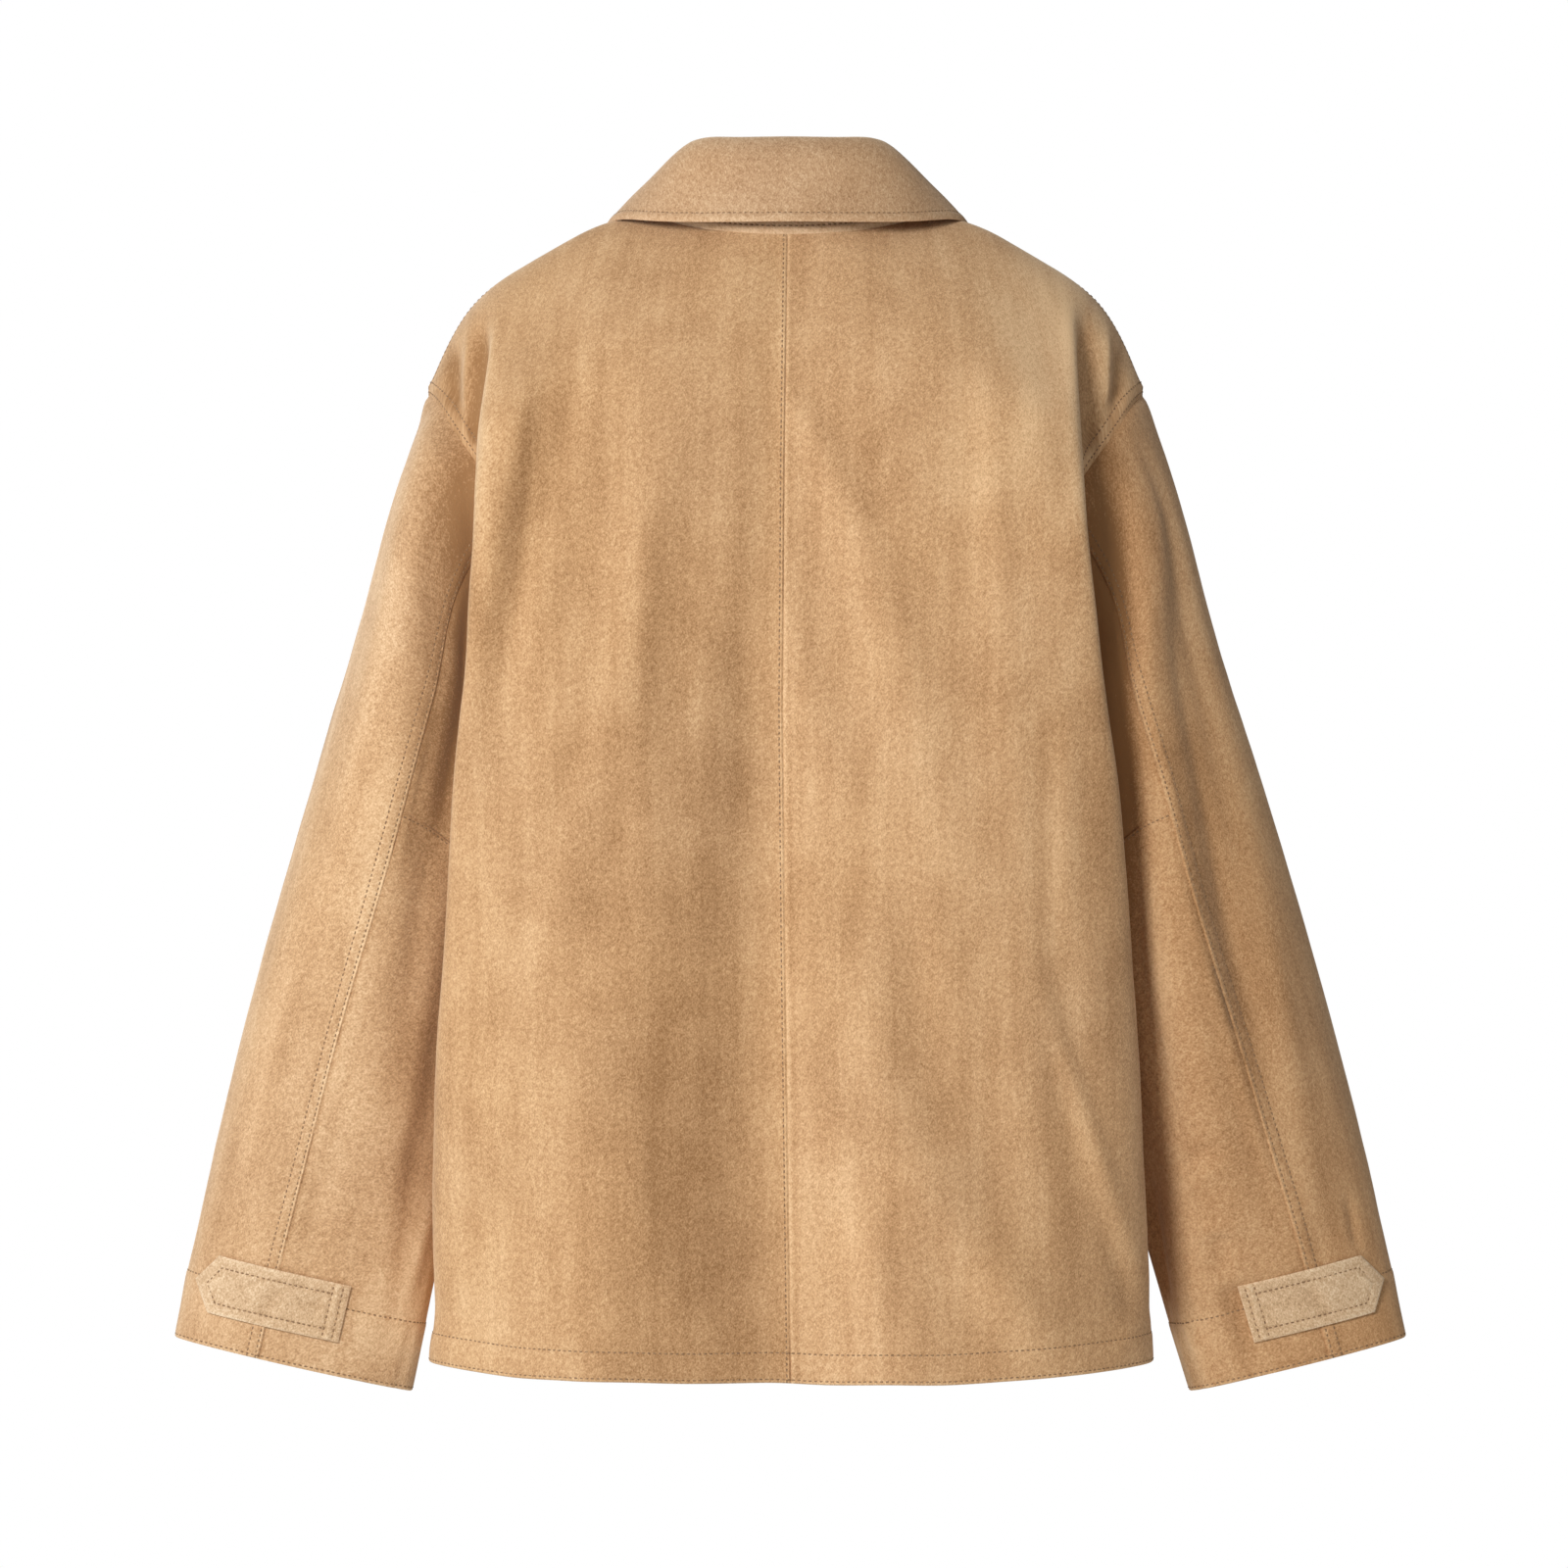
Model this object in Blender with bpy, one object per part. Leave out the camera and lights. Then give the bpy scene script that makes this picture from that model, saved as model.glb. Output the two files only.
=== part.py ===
"""Boxy suede jacket with a shirt collar, in the hollow form it has when worn.

Metres, +Z up. The wearer faces -Y and their left is +X. The origin lies
midway between the two high shoulder points, where the wearer's neck holds
the jacket up. The sizes and tables below are in millimetres.

Every piece of cloth is a grid worked out from a surface of two parameters,
given a wall by moving its points inward. The body's halves run from the
centre (across 0) to the side seam and armhole (across 1), and from the hem
(level below 0) past the armpit (level 0) to the shoulder seam (level 1).
A sleeve runs round from the shoulder (turn 0) over the back (turn 1 at the
underarm seam) or over the front (turn -1), and along from armhole to cuff.
"""
import math

import bpy
import numpy as np

MM = 0.001

# Driving sizes, in millimetres
SUEDE = 1.6
COLLAR_CLOTH = 2.6
SEAM_GAP = 0.3
ARMHOLE_EASE = 0.15
FRONT_OVERLAP = 20.0
UNDER_FRONT_SHIFT = (0.0, 2.6, -1.4)
BUTTON_RADIUS = 9.5
BUTTON_HEIGHT = 4.0
BUTTON_CLEARANCE = 0.6
BUTTON_ROUNDING = 1.4
BUTTON_RIM = 3.2
BUTTON_DISH = 1.0
BUTTON_COUNT = 6
TOP_BUTTON_LEVEL = 0.74
LOW_BUTTON_LEVEL = -1.28
STAND_DROP = 1.2
STAND_SWELL = 2.5
STAND_END_CLEARANCE = 1.5
# The fall starts inside the roll line, climbs over it and turns down at a
# knee, then swells a little before it reaches its edge
FALL_INSET = 2.5
FALL_CLIMB = 0.6
FALL_KNEE = (5.0, -2.0)
FALL_BELLY = (2.0, 1.5)
FALL_BELLY_SHARE = 0.52
FALL_KNOTS = (0.0, 0.05, 0.14, 0.6, 1.0)
FALL_END_CLEARANCE = 1.8
TAB_THICKNESS = 2.2
TAB_CLEARANCE = 0.7
TAB_LENGTH = 92.0
TAB_WIDTH = 36.0
TAB_POINT = 11.0
TAB_INNER_END = -25.0
TAB_RISE = 21.0

# Grid steps of the solids
NECK_STEPS = 7
SHOULDER_STEPS = 11
ARMHOLE_STEPS = 10
HANG_STEPS = 12
SLEEVE_UPPER_STEPS = 8
SLEEVE_LOWER_STEPS = 10
STAND_STEPS = 4
FALL_STEPS = 6
TAB_LONG_STEPS = 10
TAB_CROSS_STEPS = 4
BUTTON_SIDES = 20

# Share of a top edge that is neck; the rest is shoulder
NECK_SHARE = NECK_STEPS / (NECK_STEPS + SHOULDER_STEPS)
MIRROR = np.array((-1.0, 1.0, 1.0))

# Where the sections' stations lie between the centre and the side
BACK_KNOTS = (0.0, 0.18, NECK_SHARE, 0.65, 0.74, 0.86, 1.0)
FRONT_KNOTS = (0.0, 0.18, NECK_SHARE, 0.58, 0.74, 0.86, 1.0)

# Back, left half: level, then centre, mid back, below the high shoulder
# point, beside the crest, crest of the side fold, tuck behind it, side or
# armhole
BACK_SECTIONS = (
    (-1.63, (0, 118, -703), (62, 121, -703), (126, 118, -701), (202, 82, -696),
     (219, 58, -694), (215, 20, -694), (212, -8, -694)),
    (-1.18, (0, 119, -583), (62, 121, -583), (124, 117, -583), (200, 88, -583),
     (216, 64, -583), (205, 24, -583), (197, -7, -583)),
    (-0.73, (0, 119, -463), (61, 121, -463), (120, 118, -463), (196, 92, -463),
     (211, 70, -463), (190, 28, -463), (173, -6, -463)),
    (-0.41, (0, 119, -379), (61, 121, -379), (117, 119, -379), (191, 98, -379),
     (205, 78, -379), (174, 35, -379), (157, -5, -379)),
    (-0.22, (0, 118, -331), (60, 121, -331), (115, 119, -331), (186, 103, -331),
     (200, 86, -331), (162, 40, -331), (149, -4, -331)),
    (0.0, (0, 117, -272), (60, 120, -272), (113, 118, -272), (178, 108, -272),
     (192, 94, -272), (158, 47, -272), (150, -4, -272)),
    (0.2, (0, 116, -222), (59, 119, -222), (111, 116, -222), (173, 110, -224),
     (187, 99, -227), (160, 61, -236), (152, 40, -247)),
    (0.4, (0, 113, -172), (58, 116, -172), (109, 113, -173), (167, 108, -179),
     (181, 99, -184), (166, 74, -196), (160, 63, -203)),
    (0.6, (0, 106, -122), (57, 108, -122), (108, 104, -121), (161, 100, -134),
     (175, 92, -141), (179, 70, -150), (181, 60, -157)),
    (0.8, (0, 88, -66), (55, 87, -65), (107, 74, -57), (160, 74, -86),
     (174, 73, -98), (190, 47, -111), (205, 36, -123)),
    (0.9, (0, 73, -37), (53, 67, -31), (104, 34, -11), (156, 35, -36),
     (177, 36, -52), (199, 26, -79), (214, 16, -110)),
)

# Front, left half, with the same columns
FRONT_SECTIONS = (
    (-1.63, (0, -144, -697), (63, -143, -697), (120, -137, -697), (174, -120, -696),
     (211, -88, -695), (214, -48, -694), (212, -8, -694)),
    (-1.18, (0, -145, -583), (63, -144, -583), (119, -136, -583), (171, -120, -583),
     (205, -90, -583), (202, -48, -583), (197, -7, -583)),
    (-0.73, (0, -144, -463), (62, -143, -463), (116, -135, -463), (167, -120, -463),
     (197, -92, -463), (183, -48, -463), (173, -6, -463)),
    (-0.41, (0, -142, -379), (60, -142, -379), (113, -134, -379), (162, -120, -379),
     (190, -93, -379), (171, -48, -379), (157, -5, -379)),
    (-0.22, (0, -141, -331), (60, -140, -331), (111, -131, -331), (159, -118, -331),
     (185, -92, -331), (158, -48, -331), (149, -4, -331)),
    (0.0, (0, -138, -272), (60, -138, -272), (109, -129, -272), (155, -114, -272),
     (180, -91, -272), (156, -52, -272), (150, -4, -272)),
    (0.2, (0, -134, -232), (60, -133, -232), (108, -125, -230), (151, -110, -230),
     (176, -90, -234), (159, -68, -240), (154, -46, -245)),
    (0.4, (0, -128, -192), (62, -126, -189), (109, -116, -181), (149, -102, -182),
     (174, -90, -190), (167, -79, -197), (164, -70, -203)),
    (0.6, (0, -118, -150), (70, -113, -141), (112, -98, -122), (147, -88, -129),
     (170, -82, -144), (178, -73, -152), (183, -68, -157)),
    (0.8, (0, -101, -107), (82, -95, -86), (117, -58, -48), (146, -62, -73),
     (171, -63, -97), (191, -53, -112), (207, -46, -123)),
    (0.9, (0, -92, -85), (87, -79, -56), (112, -26, -13), (146, -33, -32),
     (177, -37, -53), (198, -33, -80), (215, -28, -111)),
)

# Half of the neck seam, with the collar's roll line and outer edge beside it,
# from the centre back over the high shoulder point to the centre front
COLLAR_STATIONS = (
    ((0, 57, -9), (0, 45, 48), (0, 70, -3)),
    ((36, 52, -7), (33, 41, 48), (41, 65, -3)),
    ((68, 34, -1), (57, 25, 47), (81, 46, -1)),
    ((92, 2, 5), (69, -2, 33), (107, 6, 1)),
    ((94, -30, -10), (70, -33, 14), (111, -36, -16)),
    ((78, -58, -34), (58, -62, -15), (99, -73, -45)),
    ((45, -76, -53), (32, -81, -38), (76, -94, -73)),
    ((0, -82, -62), (2, -88, -49), (48, -106, -98)),
)
HIGH_SHOULDER_SHARE = 3 / (len(COLLAR_STATIONS) - 1)

# Shoulder seam from the high shoulder point to the top of the armhole
SHOULDER_SEAM = (
    (92, 2, 5),
    (120, 0, -6),
    (150, -3, -21),
    (178, -6, -36),
    (197, -7, -54),
    (210, -8, -77),
    (221, -8, -104),
)

# Sleeve rings: share of its length, outer edge x and z, inner edge x and z,
# furthest back y and furthest front y
SLEEVE_RINGS = (
    (0.110, 242, -165, 156, -291, 62, -74),
    (0.232, 261, -235, 156, -321, 64, -77),
    (0.352, 281, -305, 162, -361, 60, -77),
    (0.483, 303, -381, 171, -425, 52, -76),
    (0.639, 329, -472, 189, -510, 42, -72),
    (0.785, 351, -558, 207, -594, 31, -66),
    (0.906, 368, -629, 222, -662, 20, -56),
    (1.000, 380, -684, 234, -717, 12, -46),
)
SLEEVE_LENGTH = 596.0
SLEEVE_RADIUS = 72.0
# Turn of the sleeve's back seam away from the middle of the back, in radians
BACK_SEAM_TURN_AT_ARMHOLE = 0.05
BACK_SEAM_TURN_AT_CUFF = -0.27
BACK_SEAM = 0.5
ELBOW_SEAM = 0.406
ELBOW_SEAM_SLANT = 0.06

# The right cuff is gathered in a little on its inner side
RIGHT_CUFF_TUCK = 12.0
# Sideways sway of the hanging cloth at heights from the neck to the hem
SWAY_HEIGHTS = (-720, -600, -450, -300, -150, 5)
SWAY = (-2.0, -0.5, 1.5, 3.0, 2.0, 0.0)

# Largest soft folds: three points of a curve in x and z, half width at its
# start and end, and height, which is below zero for a trough
BACK_FOLDS = (
    (17, -255, 20, -546, -8, -755, 32, 34, -7.3),
    (10, -301, 21, -523, 39, -788, 14, 34, -3.8),
    (24, -558, 0, -660, -5, -750, 30, 34, -3.4),
    (88, -21, 166, -319, 191, -528, 27, 34, -6.0),
    (131, -64, 168, -172, 121, -332, 23, 34, 6.2),
    (117, -50, 153, -192, 178, -331, 15, 12, -6.0),
    (139, -436, 111, -623, 152, -797, 32, 34, 7.1),
    (150, -551, 187, -645, 203, -687, 25, 34, -6.0),
    (-40, -419, -66, -608, -48, -787, 18, 34, 5.2),
    (-89, -551, -99, -605, -189, -712, 30, 14, 5.0),
)
FRONT_FOLDS = (
    (128, -150, 136, -240, 148, -330, 16, 18, -4.5),
    (-126, -140, -140, -240, -150, -340, 15, 17, -4.0),
    (88, -420, 94, -570, 96, -740, 22, 28, 5.0),
    (-92, -400, -94, -560, -100, -740, 20, 26, 5.0),
    (34, -380, 30, -560, 34, -740, 20, 28, -4.5),
    (-40, -360, -36, -560, -32, -740, 20, 26, -4.0),
    (146, -380, 150, -540, 158, -740, 18, 22, -4.5),
    (-140, -400, -148, -560, -152, -740, 18, 22, -5.0),
)
# How far the back of a sleeve leans towards its outer edge, by share of its
# length, on the left and on the right
LEAN_SHARES = (0.0, 0.11, 0.35, 0.64, 0.9, 1.0)
SLEEVE_LEAN = {1: (0.0, 22.0, 27.0, 18.0, 6.0, 0.0), -1: (0.0, 3.0, 4.0, 3.0, 0.0, 0.0)}
# Share of that lean on the half next to the body
INNER_LEAN = 0.2
# Largest soft folds of each sleeve: three points as turn and share of the
# length, half width at start and end, and height
SLEEVE_FOLDS = {
    1: (
        (0.25, 0.08, 0.33, 0.36, 0.40, 0.64, 16, 18, 3.0),
        (0.70, 0.42, 0.76, 0.66, 0.80, 0.90, 14, 14, -3.5),
        (-0.35, 0.16, -0.45, 0.32, -0.52, 0.50, 15, 15, -3.5),
        (-0.60, 0.46, -0.45, 0.54, -0.30, 0.60, 13, 13, 3.0),
    ),
    -1: (
        (0.36, 0.02, 0.52, 0.38, 0.64, 0.72, 13, 14, 5.5),
        (0.22, 0.08, 0.37, 0.40, 0.48, 0.74, 12, 12, -5.5),
        (-0.33, 0.18, -0.43, 0.34, -0.50, 0.52, 15, 15, -3.5),
        (-0.60, 0.50, -0.44, 0.57, -0.28, 0.62, 13, 13, 3.0),
    ),
}

SUEDE_COLOUR = (0.62, 0.42, 0.235, 1.0)
SUEDE_ROUGHNESS = 0.92
BUTTON_COLOUR = (0.20, 0.115, 0.055, 1.0)
BUTTON_ROUGHNESS = 0.35


def clear_scene():
    """Remove every object that the file starts with."""
    for thing in list(bpy.data.objects):
        bpy.data.objects.remove(thing)


def material(name, colour, roughness):
    """One plain surface with a colour and a roughness."""
    made = bpy.data.materials.new(name)
    made.use_nodes = True
    shader = made.node_tree.nodes["Principled BSDF"]
    shader.inputs["Base Color"].default_value = colour
    shader.inputs["Roughness"].default_value = roughness
    shader.inputs["Metallic"].default_value = 0.0
    return made


def spline_weights(knots, places):
    """Share of each knot's value in a cubic spline, one row per place.

    The second derivative stays level over the first and the last span.
    """
    knots = np.asarray(knots, float)
    count = len(knots)
    gaps = np.diff(knots)
    values = np.eye(count)
    system = np.zeros((count, count))
    target = np.zeros((count, count))
    system[0, :2] = (1.0, -1.0)
    system[-1, -2:] = (-1.0, 1.0)
    for row in range(1, count - 1):
        before, after = gaps[row - 1], gaps[row]
        system[row, row - 1:row + 2] = (before, 2 * (before + after), after)
        rise_after = (values[row + 1] - values[row]) / after
        rise_before = (values[row] - values[row - 1]) / before
        target[row] = 6 * (rise_after - rise_before)
    bends = np.linalg.solve(system, target)
    flat = np.asarray(places, float).ravel()
    span = np.clip(np.searchsorted(knots, flat) - 1, 0, count - 2)
    width = gaps[span][:, None]
    after = (flat - knots[span])[:, None] / width
    before = 1 - after
    curve = (before ** 3 - before) * bends[span] + (after ** 3 - after) * bends[span + 1]
    return before * values[span] + after * values[span + 1] + curve * width ** 2 / 6


def unit(vectors):
    """Vectors of length one."""
    return vectors / np.linalg.norm(vectors, axis=-1, keepdims=True)


def smooth_step(value):
    """Soft step from 0 to 1 as value goes from 0 to 1."""
    held = np.clip(value, 0.0, 1.0)
    return held * held * (3 - 2 * held)


def collar_line(column, share):
    """Point of the neck, roll or edge line, share 0 centre back to 1 front.

    The stations' mirror images go before them, so the line crosses the
    centre back square.
    """
    points = np.array([station[column] for station in COLLAR_STATIONS], float)
    points = np.concatenate((points[:0:-1] * MIRROR, points))
    knots = np.linspace(-1.0, 1.0, len(points))
    share = np.asarray(share, float)
    return (spline_weights(knots, share) @ points).reshape(share.shape + (3,))


def shoulder_line(share):
    """Point of the shoulder seam, share 0 at the neck to 1 at the armhole."""
    points = np.array(SHOULDER_SEAM, float)
    knots = np.linspace(0.0, 1.0, len(points))
    return spline_weights(knots, share) @ points


def neck_share(side, across):
    """Place along the collar of a place across the back or front."""
    reach = np.minimum(np.abs(across) / NECK_SHARE, 1.0)
    if side == "back":
        return HIGH_SHOULDER_SHARE * reach
    return 1.0 - (1.0 - HIGH_SHOULDER_SHARE) * reach


def top_line(side, across):
    """Top edge of a back or front half: neck seam, then shoulder seam."""
    reach = np.abs(across)
    neck = collar_line(0, neck_share(side, across))
    shoulder = shoulder_line(np.maximum(reach - NECK_SHARE, 0.0) / (1.0 - NECK_SHARE))
    points = np.where((reach <= NECK_SHARE)[:, None], neck, shoulder)
    points[:, 0] = np.abs(points[:, 0]) * np.sign(across)
    return points


def section_surface(side, across, level):
    """Left half of the back or front as its own table gives it.

    A spline across each section's stations, then one over the sections.
    """
    table = BACK_SECTIONS if side == "back" else FRONT_SECTIONS
    levels = [row[0] for row in table] + [1.0]
    points = np.array([row[1:] for row in table], float)
    points = np.concatenate((points[:, :0:-1] * MIRROR, points), axis=1)
    stations = BACK_KNOTS if side == "back" else FRONT_KNOTS
    knots = np.concatenate((-np.array(stations[:0:-1]), stations))
    by_station = spline_weights(knots, across)
    by_level = spline_weights(levels, level)
    inside = np.einsum("ns,nr,rsc->nc", by_station, by_level[:, :-1], points)
    return inside + by_level[:, -1:] * top_line(side, across)


def stand_surface(share, rise):
    """Collar stand, from the neck seam at rise 0 to under the roll at 1.

    Straight lines that swell outward by a sine between their ends.
    """
    neck, roll, edge = (collar_line(column, share) for column in range(3))
    out = unit((edge - roll) * (1, 1, 0))
    top = roll - (0, 0, COLLAR_CLOTH + STAND_DROP)
    swell = STAND_SWELL * np.sin(math.pi * rise)
    return neck + (top - neck) * rise[:, None] + out * swell[:, None]


def body_surface(side, across, level):
    """Left half of the back or front before its folds, at flat arrays.

    Below the armpit the back and front meet on one side seam, halfway
    between their own edges.
    """
    other = "front" if side == "back" else "back"
    ones = np.ones_like(across)
    apart = section_surface(other, ones, level) - section_surface(side, ones, level)
    near_side = smooth_step((np.abs(across) - 0.8) / 0.2) * (level < 0)
    return section_surface(side, across, level) + apart * near_side[:, None] / 2


def sleeve_surface(turn, along, hand):
    """Left sleeve before its folds, at flat arrays.

    Every ring after the armhole is an ellipse between its outer and inner
    edge, and a spline joins the rings along the arm. The back half of the
    ellipse leans by sin(angle) x cos(angle) towards its outer edge. hand
    picks the lean and the cuff's tuck of the left or the right sleeve, and
    the caller mirrors the right one.
    """
    tuck = RIGHT_CUFF_TUCK if hand < 0 else 0.0
    reach = np.abs(turn)
    back_edge = body_surface("back", np.ones_like(turn), 1.0 - reach)
    front_edge = body_surface("front", np.ones_like(turn), 1.0 - reach)
    rows = [np.where((turn >= 0)[:, None], back_edge, front_edge)]
    lean = np.sin(math.pi * turn) ** 2 * (turn > 0)
    for share, outer_x, outer_z, inner_x, inner_z, back_y, front_y in SLEEVE_RINGS:
        seam_turn = BACK_SEAM_TURN_AT_ARMHOLE
        seam_turn += (BACK_SEAM_TURN_AT_CUFF - BACK_SEAM_TURN_AT_ARMHOLE) * share
        angle = math.pi * turn + seam_turn * lean
        inner_x = inner_x + tuck * share ** 4
        x = (outer_x + inner_x) / 2 + (outer_x - inner_x) / 2 * np.cos(angle)
        y = (back_y + front_y) / 2 + (back_y - front_y) / 2 * np.sin(angle)
        lean_here = np.interp(share, LEAN_SHARES, SLEEVE_LEAN[hand])
        outward = np.where(np.cos(angle) > 0, 1.0, INNER_LEAN) * np.cos(angle)
        y += lean_here * np.maximum(np.sin(angle), 0.0) * outward
        z = (outer_z + inner_z) / 2 + (outer_z - inner_z) / 2 * np.cos(angle)
        rows.append(np.stack((x, y, z), axis=1))
    knots = [0.0] + [ring[0] for ring in SLEEVE_RINGS]
    return np.einsum("nr,rnc->nc", spline_weights(knots, along), np.array(rows))


def facing(surface, first, second, first_range):
    """Unit normals, the first tangent crossed with the second.

    The tangents are differences over a small step, kept within the range of
    the first parameter.
    """
    step = 1e-3
    low = np.maximum(first - step, first_range[0])
    high = np.minimum(first + step, first_range[1])
    along_first = surface(high, second) - surface(low, second)
    along_second = surface(first, second + step) - surface(first, second - step)
    return unit(np.cross(along_first, along_second))


def body_facing(side, across, level):
    """Outward normals of the left back or front."""
    normals = facing(lambda a, b: body_surface(side, a, b), across, level, (-1.0, 1.0))
    return -normals if side == "back" else normals


def stand_facing(share, rise):
    """Outward normals of the collar stand."""
    return -facing(stand_surface, share, rise, (-1.0, 1.0))


def sleeve_facing(turn, along, hand):
    """Outward normals of the sleeve before it is mirrored."""
    return -facing(lambda a, b: sleeve_surface(a, b, hand), turn, along, (-1.0, 1.0))


def neck_facing(share):
    """Outward normals of the back and front along their neck edge."""
    reach = np.abs(share)
    back_place = reach / HIGH_SHOULDER_SHARE * NECK_SHARE
    front_place = (1.0 - reach) / (1.0 - HIGH_SHOULDER_SHARE) * NECK_SHARE
    top = np.ones_like(share)
    back = body_facing("back", np.minimum(back_place, NECK_SHARE), top)
    front = body_facing("front", np.minimum(front_place, NECK_SHARE), top)
    nearer = np.where((reach < HIGH_SHOULDER_SHARE)[:, None], back, front)
    high = np.abs(reach - HIGH_SHOULDER_SHARE) < 1e-6
    nearer[high] = unit(back[high] + front[high])
    return nearer * np.stack((np.where(share < 0, -1.0, 1.0), top, top), axis=1)


def mitred(own, other):
    """Wall direction at a seam, halfway between the two pieces' normals.

    It is lengthened so that the wall stays as thick as elsewhere.
    """
    halfway = unit(own + other + 1e-6 * own)
    reach = np.sum(halfway * own, axis=-1, keepdims=True)
    return halfway / np.maximum(reach, 0.7)


def valley(own, other):
    """Wall direction at a seam which may fold back on itself.

    Where the two pieces face each other each keeps its own direction, and
    where they agree the seam is mitred.
    """
    agreement = np.sum(own * other, axis=-1, keepdims=True)
    share = smooth_step((agreement + 0.3) / 0.5)
    return own * (1 - share) + mitred(own, other) * share


def ridge_height(places, folds):
    """Height of soft folds at places on a flat pattern.

    Each fold is a bell across a curve through its three points, drawn as
    12 straight bits, and it fades in and out along the curve.
    """
    height = np.zeros(len(places))
    share = np.linspace(0.0, 1.0, 13)[:, None]
    for row in folds:
        first, middle, last = np.array(row[:6], float).reshape(3, 2)
        pull = 2 * middle - (first + last) / 2
        line = (1 - share) ** 2 * first + 2 * share * (1 - share) * pull + share ** 2 * last
        step = np.diff(line, axis=0)
        offset = places[:, None, :] - line[:-1]
        forward = np.clip((offset * step).sum(-1) / (step * step).sum(-1), 0.0, 1.0)
        gap = np.linalg.norm(offset - forward[..., None] * step, axis=-1)
        nearest = gap.argmin(axis=1)
        pick = np.arange(len(places))
        place = (nearest + forward[pick, nearest]) / len(step)
        half_width = row[6] + (row[7] - row[6]) * place
        ends = smooth_step(place / 0.35) * smooth_step((1 - place) / 0.3)
        height += row[8] * np.exp(-(gap[pick, nearest] / half_width) ** 2) * ends
    return height


def pull_edge(points, edge, distance):
    """Draw one edge of a grid back along its own lines."""
    lines = points if edge.endswith("row") else points.swapaxes(0, 1)
    target, source = (lines[0], lines[1]) if edge.startswith("first") else (lines[-1], lines[-2])
    target += unit(source - target) * distance


def wall_object(name, outer, inner, surface_material):
    """Closed solid between an outer and an inner grid of the same size."""
    rows, columns = outer.shape[:2]
    count = rows * columns
    index = np.arange(count).reshape(rows, columns)
    low, next_low = index[:-1, :-1].ravel(), index[:-1, 1:].ravel()
    high, next_high = index[1:, :-1].ravel(), index[1:, 1:].ravel()
    sheet = np.concatenate((
        np.stack((low, high, next_high), axis=1),
        np.stack((low, next_high, next_low), axis=1),
    ))
    rim = np.concatenate((index[0, :-1], index[:-1, -1], index[-1, :0:-1], index[:0:-1, 0]))
    after = np.roll(rim, -1)
    side = np.concatenate((
        np.stack((rim, after, after + count), axis=1),
        np.stack((rim, after + count, rim + count), axis=1),
    ))
    faces = np.concatenate((sheet, sheet[:, ::-1] + count, side))
    points = np.concatenate((outer.reshape(-1, 3), inner.reshape(-1, 3)))
    first, second, third = (points[faces[:, corner]] - points[0] for corner in range(3))
    if np.einsum("ij,ij->", first, np.cross(second, third)) < 0:
        faces = faces[:, ::-1]
    return mesh_object(name, points, faces.tolist(), surface_material)


def mesh_object(name, points, faces, surface_material):
    """Mesh object with smooth faces and sharp edges, swayed with the cloth."""
    points = points + np.interp(points[:, 2], SWAY_HEIGHTS, SWAY)[:, None] * (1, 0, 0)
    mesh = bpy.data.meshes.new(name)
    mesh.from_pydata((points * MM).tolist(), [], faces)
    mesh.materials.append(surface_material)
    mesh.shade_smooth()
    mesh.set_sharp_from_angle(angle=math.radians(40))
    made = bpy.data.objects.new(name, mesh)
    bpy.context.collection.objects.link(made)
    return made


def grid(first, second):
    """Two flat arrays for every pair of values, and the grid's shape."""
    one, two = np.meshgrid(first, second, indexing="ij")
    return one.ravel(), two.ravel(), one.shape


def body_levels():
    """Levels of the solid's rows: hem to armpit, then armpit to shoulder."""
    hang = np.linspace(BACK_SECTIONS[0][0], 0.0, HANG_STEPS + 1)
    return np.concatenate((hang[:-1], np.linspace(0.0, 1.0, ARMHOLE_STEPS + 1)))


def body_across():
    """Places of the solid's columns: along the neck, then the shoulder."""
    neck = np.linspace(0.0, NECK_SHARE, NECK_STEPS + 1)
    return np.concatenate((neck[:-1], np.linspace(NECK_SHARE, 1.0, SHOULDER_STEPS + 1)))


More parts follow.
